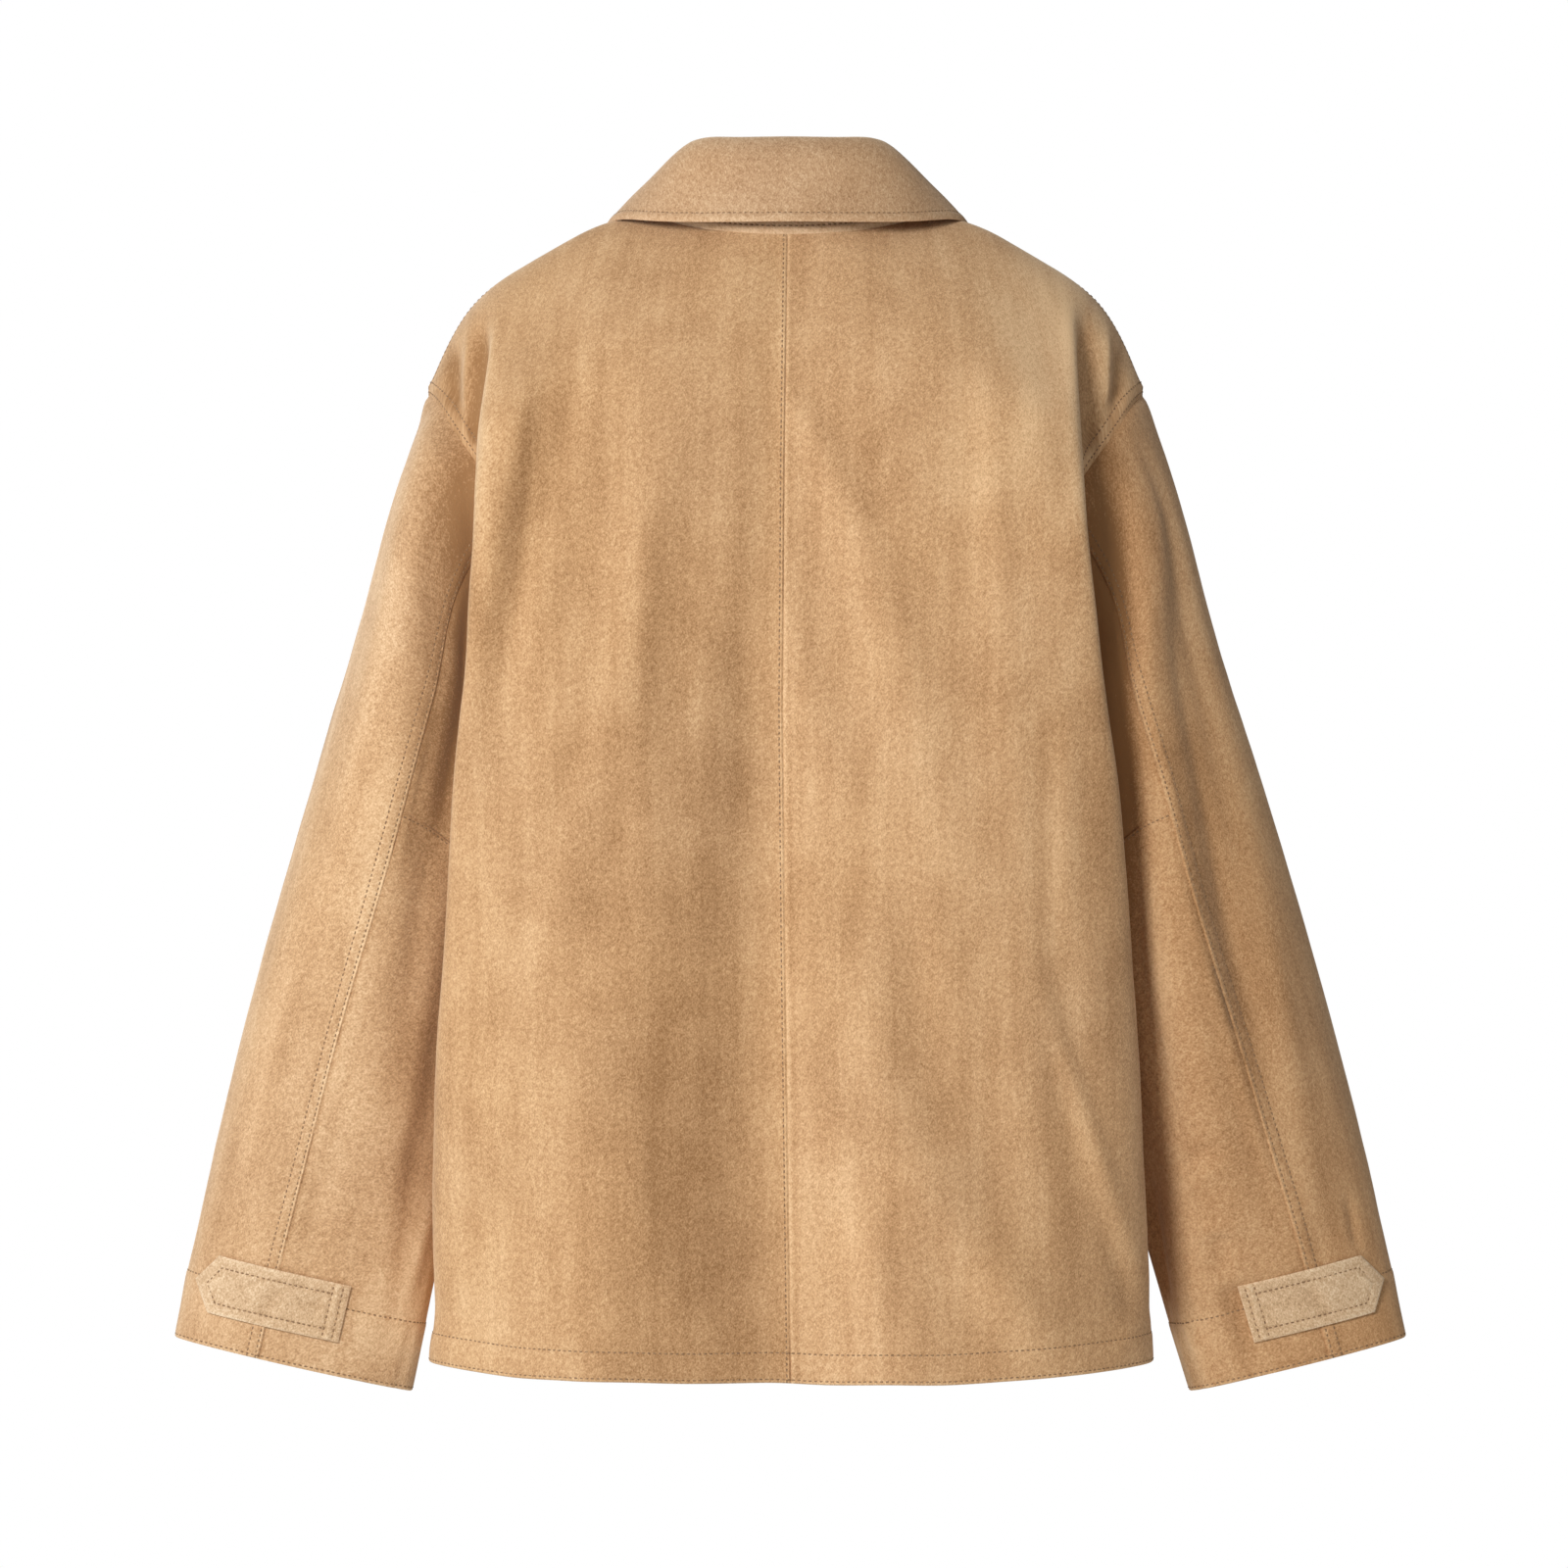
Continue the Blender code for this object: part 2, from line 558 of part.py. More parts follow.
def body_panel(name, side, hand, across, suede):
    """One half of the back or front; hand is 1 for the left, -1 for the right."""
    levels = body_levels()
    level, place, shape = grid(levels, across)
    outer = body_surface(side, place, level)
    normals = body_facing(side, place, level)
    other = "front" if side == "back" else "back"
    at_side = place > 0.999
    hanging = at_side & (level <= 1e-6)
    normals[hanging] = mitred(normals[hanging], body_facing(other, place[hanging], level[hanging]))
    armhole = at_side & (level > 1e-6) & (level < 0.999)
    turn = (1.0 - level[armhole]) * (1.0 if side == "back" else -1.0)
    normals[armhole] = valley(normals[armhole], sleeve_facing(turn, np.zeros_like(turn), hand))
    at_top = (level > 0.999) & (np.abs(place) > NECK_SHARE + 0.01)
    normals[at_top] = mitred(normals[at_top], body_facing(other, place[at_top], level[at_top]))
    at_neck = (level > 0.999) & (np.abs(place) < NECK_SHARE + 0.01)
    foot = neck_share(side, place[at_neck])
    normals[at_neck] = mitred(neck_facing(foot), stand_facing(foot, np.zeros_like(foot)))
    outer = outer * (hand, 1, 1)
    normals = normals * (hand, 1, 1)
    folds = BACK_FOLDS if side == "back" else FRONT_FOLDS
    rise = ridge_height(outer[:, (0, 2)], folds)
    rise *= smooth_step((1.0 - np.abs(place)) / 0.15) * smooth_step((1.0 - level) / 0.2)
    if side == "front":
        rise *= smooth_step(np.abs(place) / 0.22)
    outer = outer + normals * rise[:, None]
    if side == "front" and hand < 0:
        under = 1 - smooth_step((place - 0.04) / 0.2)
        outer += under[:, None] * UNDER_FRONT_SHIFT
    outer = outer.reshape(shape + (3,))
    normals = normals.reshape(shape + (3,))
    pull_edge(outer, "last_column", SEAM_GAP / 2)
    pull_edge(outer, "last_row", SEAM_GAP / 2)
    if side == "back":
        pull_edge(outer, "first_column", SEAM_GAP / 2)
    return wall_object(name, outer, outer - normals * SUEDE, suede)


def front_across():
    """Columns of a front half, which start past the centre line."""
    columns = body_across()
    width = columns[1] - columns[0]
    centre_step = body_surface("front", columns[1:2], np.array((-0.5,)))[0, 0]
    return np.concatenate(((-FRONT_OVERLAP * width / centre_step,), columns))


def elbow_share(turn):
    """Where the elbow seam crosses the sleeve, as a share of its length."""
    inward = smooth_step((turn - BACK_SEAM) / (1.0 - BACK_SEAM))
    round_front = smooth_step((BACK_SEAM - turn) / (1.0 + BACK_SEAM))
    return ELBOW_SEAM + ELBOW_SEAM_SLANT * np.where(turn >= BACK_SEAM, inward, round_front)


def sleeve_piece(name, hand, turns, part, suede):
    """One piece of a sleeve between two turns.

    part is "upper" or "lower" for the side of the elbow seam, or "whole".
    """
    upper = np.linspace(0.0, 1.0, SLEEVE_UPPER_STEPS + 1)
    lower = np.linspace(1.0, 2.0, SLEEVE_LOWER_STEPS + 1)
    steps = {"upper": upper, "lower": lower, "whole": np.concatenate((upper[:-1], lower))}[part]
    step, turn, shape = grid(steps, turns)
    elbow = elbow_share(turn)
    along = np.where(step <= 1.0, elbow * step, elbow + (1.0 - elbow) * (step - 1.0))
    outer = sleeve_surface(turn, along, hand)
    normals = sleeve_facing(turn, along, hand)
    seam = np.abs(turn) > 0.999
    normals[seam] = mitred(normals[seam], sleeve_facing(-turn[seam], along[seam], hand))
    head = (along < 1e-6) & (np.abs(turn) < 0.999)
    sides = np.where(turn[head] >= 0, 1.0, -1.0)
    ones = np.ones(len(sides))
    back = body_facing("back", ones, 1.0 - np.abs(turn[head]))
    front = body_facing("front", ones, 1.0 - np.abs(turn[head]))
    normals[head] = valley(normals[head], np.where((sides > 0)[:, None], back, front))
    scale = np.array((math.pi * SLEEVE_RADIUS, SLEEVE_LENGTH))
    folds = [np.concatenate((row[:6] * np.tile(scale, 3), row[6:])) for row in SLEEVE_FOLDS[hand]]
    rise = ridge_height(np.stack((turn, along), axis=1) * scale, folds)
    rise *= smooth_step(along / 0.1) * smooth_step((1.0 - np.abs(turn)) / 0.12)
    outer = (outer + normals * rise[:, None]) * (hand, 1, 1)
    outer = outer.reshape(shape + (3,))
    normals = (normals * (hand, 1, 1)).reshape(shape + (3,))
    pull_edge(outer, "first_column", SEAM_GAP / 2)
    pull_edge(outer, "last_column", SEAM_GAP / 2)
    pull_edge(outer, "first_row", SEAM_GAP / 2)
    if part != "lower":
        pull_edge(outer, "first_row", ARMHOLE_EASE)
    if part == "upper":
        pull_edge(outer, "last_row", SEAM_GAP / 2)
    return wall_object(name, outer, outer - normals * SUEDE, suede)


def sleeves(hand, word, suede):
    """The three pieces of one sleeve."""
    turns = np.linspace(-1.0, 1.0, 2 * ARMHOLE_STEPS + 1)
    top_turns = turns[turns <= BACK_SEAM + 1e-6]
    under_turns = turns[turns >= BACK_SEAM - 1e-6]
    sleeve_piece("sleeve_top_" + word, hand, top_turns, "whole", suede)
    sleeve_piece("sleeve_under_upper_" + word, hand, under_turns, "upper", suede)
    sleeve_piece("sleeve_under_lower_" + word, hand, under_turns, "lower", suede)


def collar_shares():
    """Places along the collar, at the columns of the back and front tops."""
    back = np.linspace(0.0, HIGH_SHOULDER_SHARE, NECK_STEPS + 1)
    front = np.linspace(HIGH_SHOULDER_SHARE, 1.0, NECK_STEPS + 1)
    half = np.concatenate((back[:-1], front))
    return np.concatenate((-half[:0:-1], half))


def collar_ends(points, clearance):
    """Keep both ends of a collar piece a little off the centre front."""
    points[:, 0, 0] = np.minimum(points[:, 0, 0], -clearance)
    points[:, -1, 0] = np.maximum(points[:, -1, 0], clearance)


def grid_facing(points):
    """Normals of a grid from its own differences, row crossed with column."""
    by_row = np.gradient(points, axis=0)
    by_column = np.gradient(points, axis=1)
    return unit(np.cross(by_column, by_row))


def collar(suede):
    """Collar stand from the neck seam to the roll, and the fall over it."""
    shares = collar_shares()
    rise, share, shape = grid(np.linspace(0.0, 1.0, STAND_STEPS + 1), shares)
    stand = stand_surface(share, rise)
    normals = stand_facing(share, rise)
    foot = rise < 1e-6
    normals[foot] = mitred(normals[foot], neck_facing(share[foot]))
    stand = stand.reshape(shape + (3,))
    pull_edge(stand, "first_row", SEAM_GAP / 2)
    collar_ends(stand, STAND_END_CLEARANCE)
    wall_object("collar_stand", stand, stand - normals.reshape(stand.shape) * SUEDE, suede)

    roll, edge = (collar_line(column, shares) for column in (1, 2))
    out = unit((edge - roll) * (1, 1, 0))
    start = roll - out * FALL_INSET
    top = roll + (0, 0, FALL_CLIMB)
    knee = roll + out * FALL_KNEE[0] + (0, 0, FALL_KNEE[1])
    belly = knee + (edge - knee) * FALL_BELLY_SHARE + out * FALL_BELLY[0] + (0, 0, FALL_BELLY[1])
    places = np.concatenate((FALL_KNOTS[:2], np.linspace(FALL_KNOTS[2], 1.0, FALL_STEPS)))
    weights = spline_weights(FALL_KNOTS, places)
    fall = np.einsum("rk,knc->rnc", weights, np.stack((start, top, knee, belly, edge)))
    collar_ends(fall, FALL_END_CLEARANCE)
    fall_facing = -grid_facing(fall)
    wall_object("collar_fall", fall, fall - fall_facing * COLLAR_CLOTH, suede)


def cuff_tab(name, hand, suede):
    """Pointed strap on the back of the cuff, made from the sleeve's points."""
    length = np.linspace(0.0, 1.0, TAB_LONG_STEPS + 1)
    cross = np.linspace(-1.0, 1.0, TAB_CROSS_STEPS + 1)
    long_share, cross_share, shape = grid(length, cross)
    reach = long_share * (TAB_LENGTH - TAB_POINT * np.abs(cross_share))
    above = TAB_RISE + TAB_WIDTH / 2 + cross_share * TAB_WIDTH / 2
    along = 1.0 - above / SLEEVE_LENGTH
    outer_x, outer_z, inner_x, inner_z = SLEEVE_RINGS[-1][1:5]
    half_width = math.hypot(outer_x - inner_x, outer_z - inner_z) / 2
    angle = np.arccos((TAB_INNER_END + reach) / half_width)
    turns = np.linspace(0.0, 1.0, 201)
    angles = math.pi * turns + BACK_SEAM_TURN_AT_CUFF * np.sin(math.pi * turns) ** 2
    turn = np.interp(angle, angles, turns)
    base = sleeve_surface(turn, along, hand)
    normals = sleeve_facing(turn, along, hand)
    lift = TAB_CLEARANCE + TAB_THICKNESS
    outer = ((base + normals * lift) * (hand, 1, 1)).reshape(shape + (3,))
    normals = (normals * (hand, 1, 1)).reshape(shape + (3,))
    return wall_object(name, outer, outer - normals * TAB_THICKNESS, suede)


def front_button(name, level, button_material):
    """Flat round button on the left front, with a rounded edge."""
    here = np.array((level,))
    centre = body_surface("front", np.zeros(1), here)[0]
    out = body_facing("front", np.zeros(1), here)[0]
    across = np.array((1.0, 0.0, 0.0))
    up = np.cross(across, out)
    top = BUTTON_CLEARANCE + BUTTON_HEIGHT
    rings = (
        (BUTTON_RADIUS - BUTTON_ROUNDING, BUTTON_CLEARANCE),
        (BUTTON_RADIUS, BUTTON_CLEARANCE + BUTTON_ROUNDING),
        (BUTTON_RADIUS, top - BUTTON_ROUNDING),
        (BUTTON_RADIUS - BUTTON_ROUNDING, top),
        (BUTTON_RADIUS - BUTTON_RIM, top - BUTTON_DISH),
    )
    angles = np.linspace(0.0, 2 * math.pi, BUTTON_SIDES, endpoint=False)
    spokes = np.cos(angles)[:, None] * across - np.sin(angles)[:, None] * up
    points = np.concatenate([centre + spokes * radius + out * height for radius, height in rings])
    faces = [tuple(range(BUTTON_SIDES))[::-1]]
    for ring in range(len(rings) - 1):
        for side in range(BUTTON_SIDES):
            following = (side + 1) % BUTTON_SIDES
            low, high = ring * BUTTON_SIDES, (ring + 1) * BUTTON_SIDES
            faces.append((low + side, low + following, high + following, high + side))
    last = (len(rings) - 1) * BUTTON_SIDES
    faces.append(tuple(range(last, last + BUTTON_SIDES)))
    return mesh_object(name, points, faces, button_material)


def build():
    """Make every piece of the jacket."""
    clear_scene()
    suede = material("suede", SUEDE_COLOUR, SUEDE_ROUGHNESS)
    horn = material("button", BUTTON_COLOUR, BUTTON_ROUGHNESS)
    for word, hand in (("left", 1), ("right", -1)):
        body_panel("back_" + word, "back", hand, body_across(), suede)
        body_panel("front_" + word, "front", hand, front_across(), suede)
        sleeves(hand, word, suede)
        cuff_tab("cuff_tab_" + word, hand, suede)
    collar(suede)
    for number, level in enumerate(np.linspace(TOP_BUTTON_LEVEL, LOW_BUTTON_LEVEL, BUTTON_COUNT)):
        front_button("button_%d" % (number + 1), float(level), horn)


build()
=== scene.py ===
# %% [markdown]
# # A suede jacket
# A boxy suede jacket that keeps the hollow form it has on a wearer, with
# nobody in it. It is cut as the real garment is: two backs, two fronts, a
# top sleeve and a two-piece under sleeve on each side, a collar stand with a
# fall, and a pointed tab on each cuff.
#
# The frame of solids gives every piece its place. Each solid is hidden and a
# finer shell with the same name in its title stands in for it, worked out
# from the same sizes with many more rows. Lengths are in millimetres until
# a mesh is made.

# %% Load the frame
import math

import bpy
import numpy as np
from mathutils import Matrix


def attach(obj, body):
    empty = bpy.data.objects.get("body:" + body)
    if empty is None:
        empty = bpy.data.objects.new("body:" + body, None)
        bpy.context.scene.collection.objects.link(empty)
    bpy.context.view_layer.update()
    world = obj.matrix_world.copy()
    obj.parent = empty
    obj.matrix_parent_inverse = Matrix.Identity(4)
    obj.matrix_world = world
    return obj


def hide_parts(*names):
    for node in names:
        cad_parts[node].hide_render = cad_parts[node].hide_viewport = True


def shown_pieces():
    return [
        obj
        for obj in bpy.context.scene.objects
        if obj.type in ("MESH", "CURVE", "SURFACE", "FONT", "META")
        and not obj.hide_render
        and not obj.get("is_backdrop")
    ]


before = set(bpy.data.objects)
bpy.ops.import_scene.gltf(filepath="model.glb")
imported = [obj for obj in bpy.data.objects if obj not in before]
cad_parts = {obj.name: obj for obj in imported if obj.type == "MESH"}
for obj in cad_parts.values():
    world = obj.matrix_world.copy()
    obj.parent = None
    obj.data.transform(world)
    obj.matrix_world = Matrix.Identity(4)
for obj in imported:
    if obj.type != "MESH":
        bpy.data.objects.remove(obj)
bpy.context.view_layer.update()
print("solids:", len(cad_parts))

# %% [markdown]
# ## Sizes
# A jacket is drafted from a table of measurements. The sections below are
# those measurements: each row is one level of the body, from hem to
# shoulder, and each column a station from the centre to the side. Only the
# wearer's left half is listed, and the right half is its mirror image.
# Positive x is the wearer's left, negative y is the way the wearer faces.

# %% Sizes of the cloth and its pieces
# Driving sizes, in millimetres
SUEDE = 1.6
COLLAR_CLOTH = 2.6
FRONT_OVERLAP = 20.0
UNDER_FRONT_SHIFT = (0.0, 2.6, -1.4)
BUTTON_RADIUS = 9.5
BUTTON_HEIGHT = 4.0
BUTTON_CLEARANCE = 0.6
BUTTON_ROUNDING = 1.4
BUTTON_DISH = 1.0
BUTTON_COUNT = 6
TOP_BUTTON_LEVEL = 0.74
LOW_BUTTON_LEVEL = -1.28
STAND_DROP = 1.2
STAND_SWELL = 2.5
STAND_END_CLEARANCE = 1.5
# The fall starts inside the roll line, climbs over it and turns down at a
# knee, then swells a little before it reaches its edge
FALL_INSET = 2.5
FALL_CLIMB = 0.6
FALL_KNEE = (5.0, -2.0)
FALL_BELLY = (2.0, 1.5)
FALL_BELLY_SHARE = 0.52
FALL_KNOTS = (0.0, 0.05, 0.14, 0.6, 1.0)
FALL_END_CLEARANCE = 1.8
TAB_THICKNESS = 2.2
TAB_CLEARANCE = 0.7
TAB_LENGTH = 92.0
TAB_WIDTH = 36.0
TAB_POINT = 11.0
TAB_INNER_END = -25.0
TAB_RISE = 21.0

# Share of a top edge that is neck; the rest is shoulder
NECK_SHARE = 7 / 18
MIRROR = np.array((-1.0, 1.0, 1.0))

# Where the sections' stations lie between the centre and the side
BACK_KNOTS = (0.0, 0.18, NECK_SHARE, 0.65, 0.74, 0.86, 1.0)
FRONT_KNOTS = (0.0, 0.18, NECK_SHARE, 0.58, 0.74, 0.86, 1.0)

# Back, left half: level, then centre, mid back, below the high shoulder
# point, beside the crest, crest of the side fold, tuck behind it, side or
# armhole
BACK_SECTIONS = (
    (-1.63, (0, 118, -703), (62, 121, -703), (126, 118, -701), (202, 82, -696),
     (219, 58, -694), (215, 20, -694), (212, -8, -694)),
    (-1.18, (0, 119, -583), (62, 121, -583), (124, 117, -583), (200, 88, -583),
     (216, 64, -583), (205, 24, -583), (197, -7, -583)),
    (-0.73, (0, 119, -463), (61, 121, -463), (120, 118, -463), (196, 92, -463),
     (211, 70, -463), (190, 28, -463), (173, -6, -463)),
    (-0.41, (0, 119, -379), (61, 121, -379), (117, 119, -379), (191, 98, -379),
     (205, 78, -379), (174, 35, -379), (157, -5, -379)),
    (-0.22, (0, 118, -331), (60, 121, -331), (115, 119, -331), (186, 103, -331),
     (200, 86, -331), (162, 40, -331), (149, -4, -331)),
    (0.0, (0, 117, -272), (60, 120, -272), (113, 118, -272), (178, 108, -272),
     (192, 94, -272), (158, 47, -272), (150, -4, -272)),
    (0.2, (0, 116, -222), (59, 119, -222), (111, 116, -222), (173, 110, -224),
     (187, 99, -227), (160, 61, -236), (152, 40, -247)),
    (0.4, (0, 113, -172), (58, 116, -172), (109, 113, -173), (167, 108, -179),
     (181, 99, -184), (166, 74, -196), (160, 63, -203)),
    (0.6, (0, 106, -122), (57, 108, -122), (108, 104, -121), (161, 100, -134),
     (175, 92, -141), (179, 70, -150), (181, 60, -157)),
    (0.8, (0, 88, -66), (55, 87, -65), (107, 74, -57), (160, 74, -86),
     (174, 73, -98), (190, 47, -111), (205, 36, -123)),
    (0.9, (0, 73, -37), (53, 67, -31), (104, 34, -11), (156, 35, -36),
     (177, 36, -52), (199, 26, -79), (214, 16, -110)),
)

# Front, left half, with the same columns
FRONT_SECTIONS = (
    (-1.63, (0, -144, -697), (63, -143, -697), (120, -137, -697), (174, -120, -696),
     (211, -88, -695), (214, -48, -694), (212, -8, -694)),
    (-1.18, (0, -145, -583), (63, -144, -583), (119, -136, -583), (171, -120, -583),
     (205, -90, -583), (202, -48, -583), (197, -7, -583)),
    (-0.73, (0, -144, -463), (62, -143, -463), (116, -135, -463), (167, -120, -463),
     (197, -92, -463), (183, -48, -463), (173, -6, -463)),
    (-0.41, (0, -142, -379), (60, -142, -379), (113, -134, -379), (162, -120, -379),
     (190, -93, -379), (171, -48, -379), (157, -5, -379)),
    (-0.22, (0, -141, -331), (60, -140, -331), (111, -131, -331), (159, -118, -331),
     (185, -92, -331), (158, -48, -331), (149, -4, -331)),
    (0.0, (0, -138, -272), (60, -138, -272), (109, -129, -272), (155, -114, -272),
     (180, -91, -272), (156, -52, -272), (150, -4, -272)),
    (0.2, (0, -134, -232), (60, -133, -232), (108, -125, -230), (151, -110, -230),
     (176, -90, -234), (159, -68, -240), (154, -46, -245)),
    (0.4, (0, -128, -192), (62, -126, -189), (109, -116, -181), (149, -102, -182),
     (174, -90, -190), (167, -79, -197), (164, -70, -203)),
    (0.6, (0, -118, -150), (70, -113, -141), (112, -98, -122), (147, -88, -129),
     (170, -82, -144), (178, -73, -152), (183, -68, -157)),
    (0.8, (0, -101, -107), (82, -95, -86), (117, -58, -48), (146, -62, -73),
     (171, -63, -97), (191, -53, -112), (207, -46, -123)),
    (0.9, (0, -92, -85), (87, -79, -56), (112, -26, -13), (146, -33, -32),
     (177, -37, -53), (198, -33, -80), (215, -28, -111)),
)

# Half of the neck seam, with the collar's roll line and outer edge beside it,
# from the centre back over the high shoulder point to the centre front
COLLAR_STATIONS = (
    ((0, 57, -9), (0, 45, 48), (0, 70, -3)),
    ((36, 52, -7), (33, 41, 48), (41, 65, -3)),
    ((68, 34, -1), (57, 25, 47), (81, 46, -1)),
    ((92, 2, 5), (69, -2, 33), (107, 6, 1)),
    ((94, -30, -10), (70, -33, 14), (111, -36, -16)),
    ((78, -58, -34), (58, -62, -15), (99, -73, -45)),
    ((45, -76, -53), (32, -81, -38), (76, -94, -73)),
    ((0, -82, -62), (2, -88, -49), (48, -106, -98)),
)
HIGH_SHOULDER_SHARE = 3 / (len(COLLAR_STATIONS) - 1)

# Shoulder seam from the high shoulder point to the top of the armhole
SHOULDER_SEAM = (
    (92, 2, 5),
    (120, 0, -6),
    (150, -3, -21),
    (178, -6, -36),
    (197, -7, -54),
    (210, -8, -77),
    (221, -8, -104),
)

# Sleeve rings: share of its length, outer edge x and z, inner edge x and z,
# furthest back y and furthest front y
SLEEVE_RINGS = (
    (0.110, 242, -165, 156, -291, 62, -74),
    (0.232, 261, -235, 156, -321, 64, -77),
    (0.352, 281, -305, 162, -361, 60, -77),
    (0.483, 303, -381, 171, -425, 52, -76),
    (0.639, 329, -472, 189, -510, 42, -72),
    (0.785, 351, -558, 207, -594, 31, -66),
    (0.906, 368, -629, 222, -662, 20, -56),
    (1.000, 380, -684, 234, -717, 12, -46),
)
SLEEVE_LENGTH = 596.0
SLEEVE_RADIUS = 72.0
# Turn of the sleeve's back seam away from the middle of the back, in radians
BACK_SEAM_TURN_AT_ARMHOLE = 0.05
BACK_SEAM_TURN_AT_CUFF = -0.27
BACK_SEAM = 0.5
ELBOW_SEAM = 0.406
ELBOW_SEAM_SLANT = 0.06

# The right cuff is gathered in a little on its inner side
RIGHT_CUFF_TUCK = 12.0
# Sideways sway of the hanging cloth at heights from the neck to the hem
SWAY_HEIGHTS = (-720, -600, -450, -300, -150, 5)
SWAY = (-2.0, -0.5, 1.5, 3.0, 2.0, 0.0)

# %% [markdown]
# ## Folds and creases
# Suede hangs in long soft folds that start where the cloth is held, at the
# shoulder blades and the armholes, and open towards the hem. They could be
# simulated, but a simulation puts them anywhere. Here each one is listed: a
# curve through three points, a half width at either end, and a height, which
# is below zero for a trough.

# %% Largest folds, shared with the solids
# Largest soft folds: three points of a curve in x and z, half width at its
# start and end, and height, which is below zero for a trough
BACK_FOLDS = (
    (17, -255, 20, -546, -8, -755, 32, 34, -7.3),
    (10, -301, 21, -523, 39, -788, 14, 34, -3.8),
    (24, -558, 0, -660, -5, -750, 30, 34, -3.4),
    (88, -21, 166, -319, 191, -528, 27, 34, -6.0),
    (131, -64, 168, -172, 121, -332, 23, 34, 6.2),
    (117, -50, 153, -192, 178, -331, 15, 12, -6.0),
    (139, -436, 111, -623, 152, -797, 32, 34, 7.1),
    (150, -551, 187, -645, 203, -687, 25, 34, -6.0),
    (-40, -419, -66, -608, -48, -787, 18, 34, 5.2),
    (-89, -551, -99, -605, -189, -712, 30, 14, 5.0),
)
FRONT_FOLDS = (
    (128, -150, 136, -240, 148, -330, 16, 18, -4.5),
    (-126, -140, -140, -240, -150, -340, 15, 17, -4.0),
    (88, -420, 94, -570, 96, -740, 22, 28, 5.0),
    (-92, -400, -94, -560, -100, -740, 20, 26, 5.0),
    (34, -380, 30, -560, 34, -740, 20, 28, -4.5),
    (-40, -360, -36, -560, -32, -740, 20, 26, -4.0),
    (146, -380, 150, -540, 158, -740, 18, 22, -4.5),
    (-140, -400, -148, -560, -152, -740, 18, 22, -5.0),
)
# How far the back of a sleeve leans towards its outer edge, by share of its
# length, on the left and on the right
LEAN_SHARES = (0.0, 0.11, 0.35, 0.64, 0.9, 1.0)
SLEEVE_LEAN = {1: (0.0, 22.0, 27.0, 18.0, 6.0, 0.0), -1: (0.0, 3.0, 4.0, 3.0, 0.0, 0.0)}
# Share of that lean on the half next to the body
INNER_LEAN = 0.2
# Largest soft folds of each sleeve: three points as turn and share of the
# length, half width at start and end, and height
SLEEVE_FOLDS = {
    1: (
        (0.25, 0.08, 0.33, 0.36, 0.40, 0.64, 16, 18, 3.0),
        (0.70, 0.42, 0.76, 0.66, 0.80, 0.90, 14, 14, -3.5),
        (-0.35, 0.16, -0.45, 0.32, -0.52, 0.50, 15, 15, -3.5),
        (-0.60, 0.46, -0.45, 0.54, -0.30, 0.60, 13, 13, 3.0),
    ),
    -1: (
        (0.36, 0.02, 0.52, 0.38, 0.64, 0.72, 13, 14, 5.5),
        (0.22, 0.08, 0.37, 0.40, 0.48, 0.74, 12, 12, -5.5),
        (-0.33, 0.18, -0.43, 0.34, -0.50, 0.52, 15, 15, -3.5),
        (-0.60, 0.50, -0.44, 0.57, -0.28, 0.62, 13, 13, 3.0),
    ),
}

# %% Finer creases: three points, half width at start and end, height
# Back, in x and z as it hangs
BACK_CREASES = (
    # trough inside the left crest and the fine folds below the left blade
    (139, -80, 155, -160, 163, -253, 7, 7, -2.9),
    (99, -64, 85, -407, 144, -499, 8, 27, 1.7),
    (63, -106, 91, -250, 98, -374, 17, 18, 3.8),
    (39, -250, 17, -301, 26, -433, 14, 20, -3.8),
    (18, -20, 17, -231, 56, -570, 7, 15, -1.0),
    (102, -228, 152, -413, 221, -601, 7, 15, -1.5),
    (78, -463, 82, -621, 14, -688, 12, 15, 1.5),
    # ridge that opens below the blades beside the seam
    (13, -90, -52, -215, -108, -441, 7, 26, 2.9),
    (-2, -177, -20, -304, -61, -375, 7, 21, 1.7),
    # folds that swing out over the right half
    (-66, -376, -83, -495, -79, -534, 7, 33, -3.0),
    (-108, -372, -120, -530, -121, -580, 25, 14, -2.2),
    (-7, -506, -42, -587, -52, -694, 25, 7, 2.5),
    (-120, -63, -131, -247, -143, -419, 7, 19, 1.5),
    # right side, near the crest
    (-151, -269, -178, -588, -205, -680, 7, 30, -3.4),
    (-148, -441, -186, -565, -224, -675, 7, 7, 3.2),
    (-173, -285, -170, -358, -167, -485, 7, 7, 1.1),
    (-190, -560, -204, -640, -214, -672, 9, 10, -2.4),
)
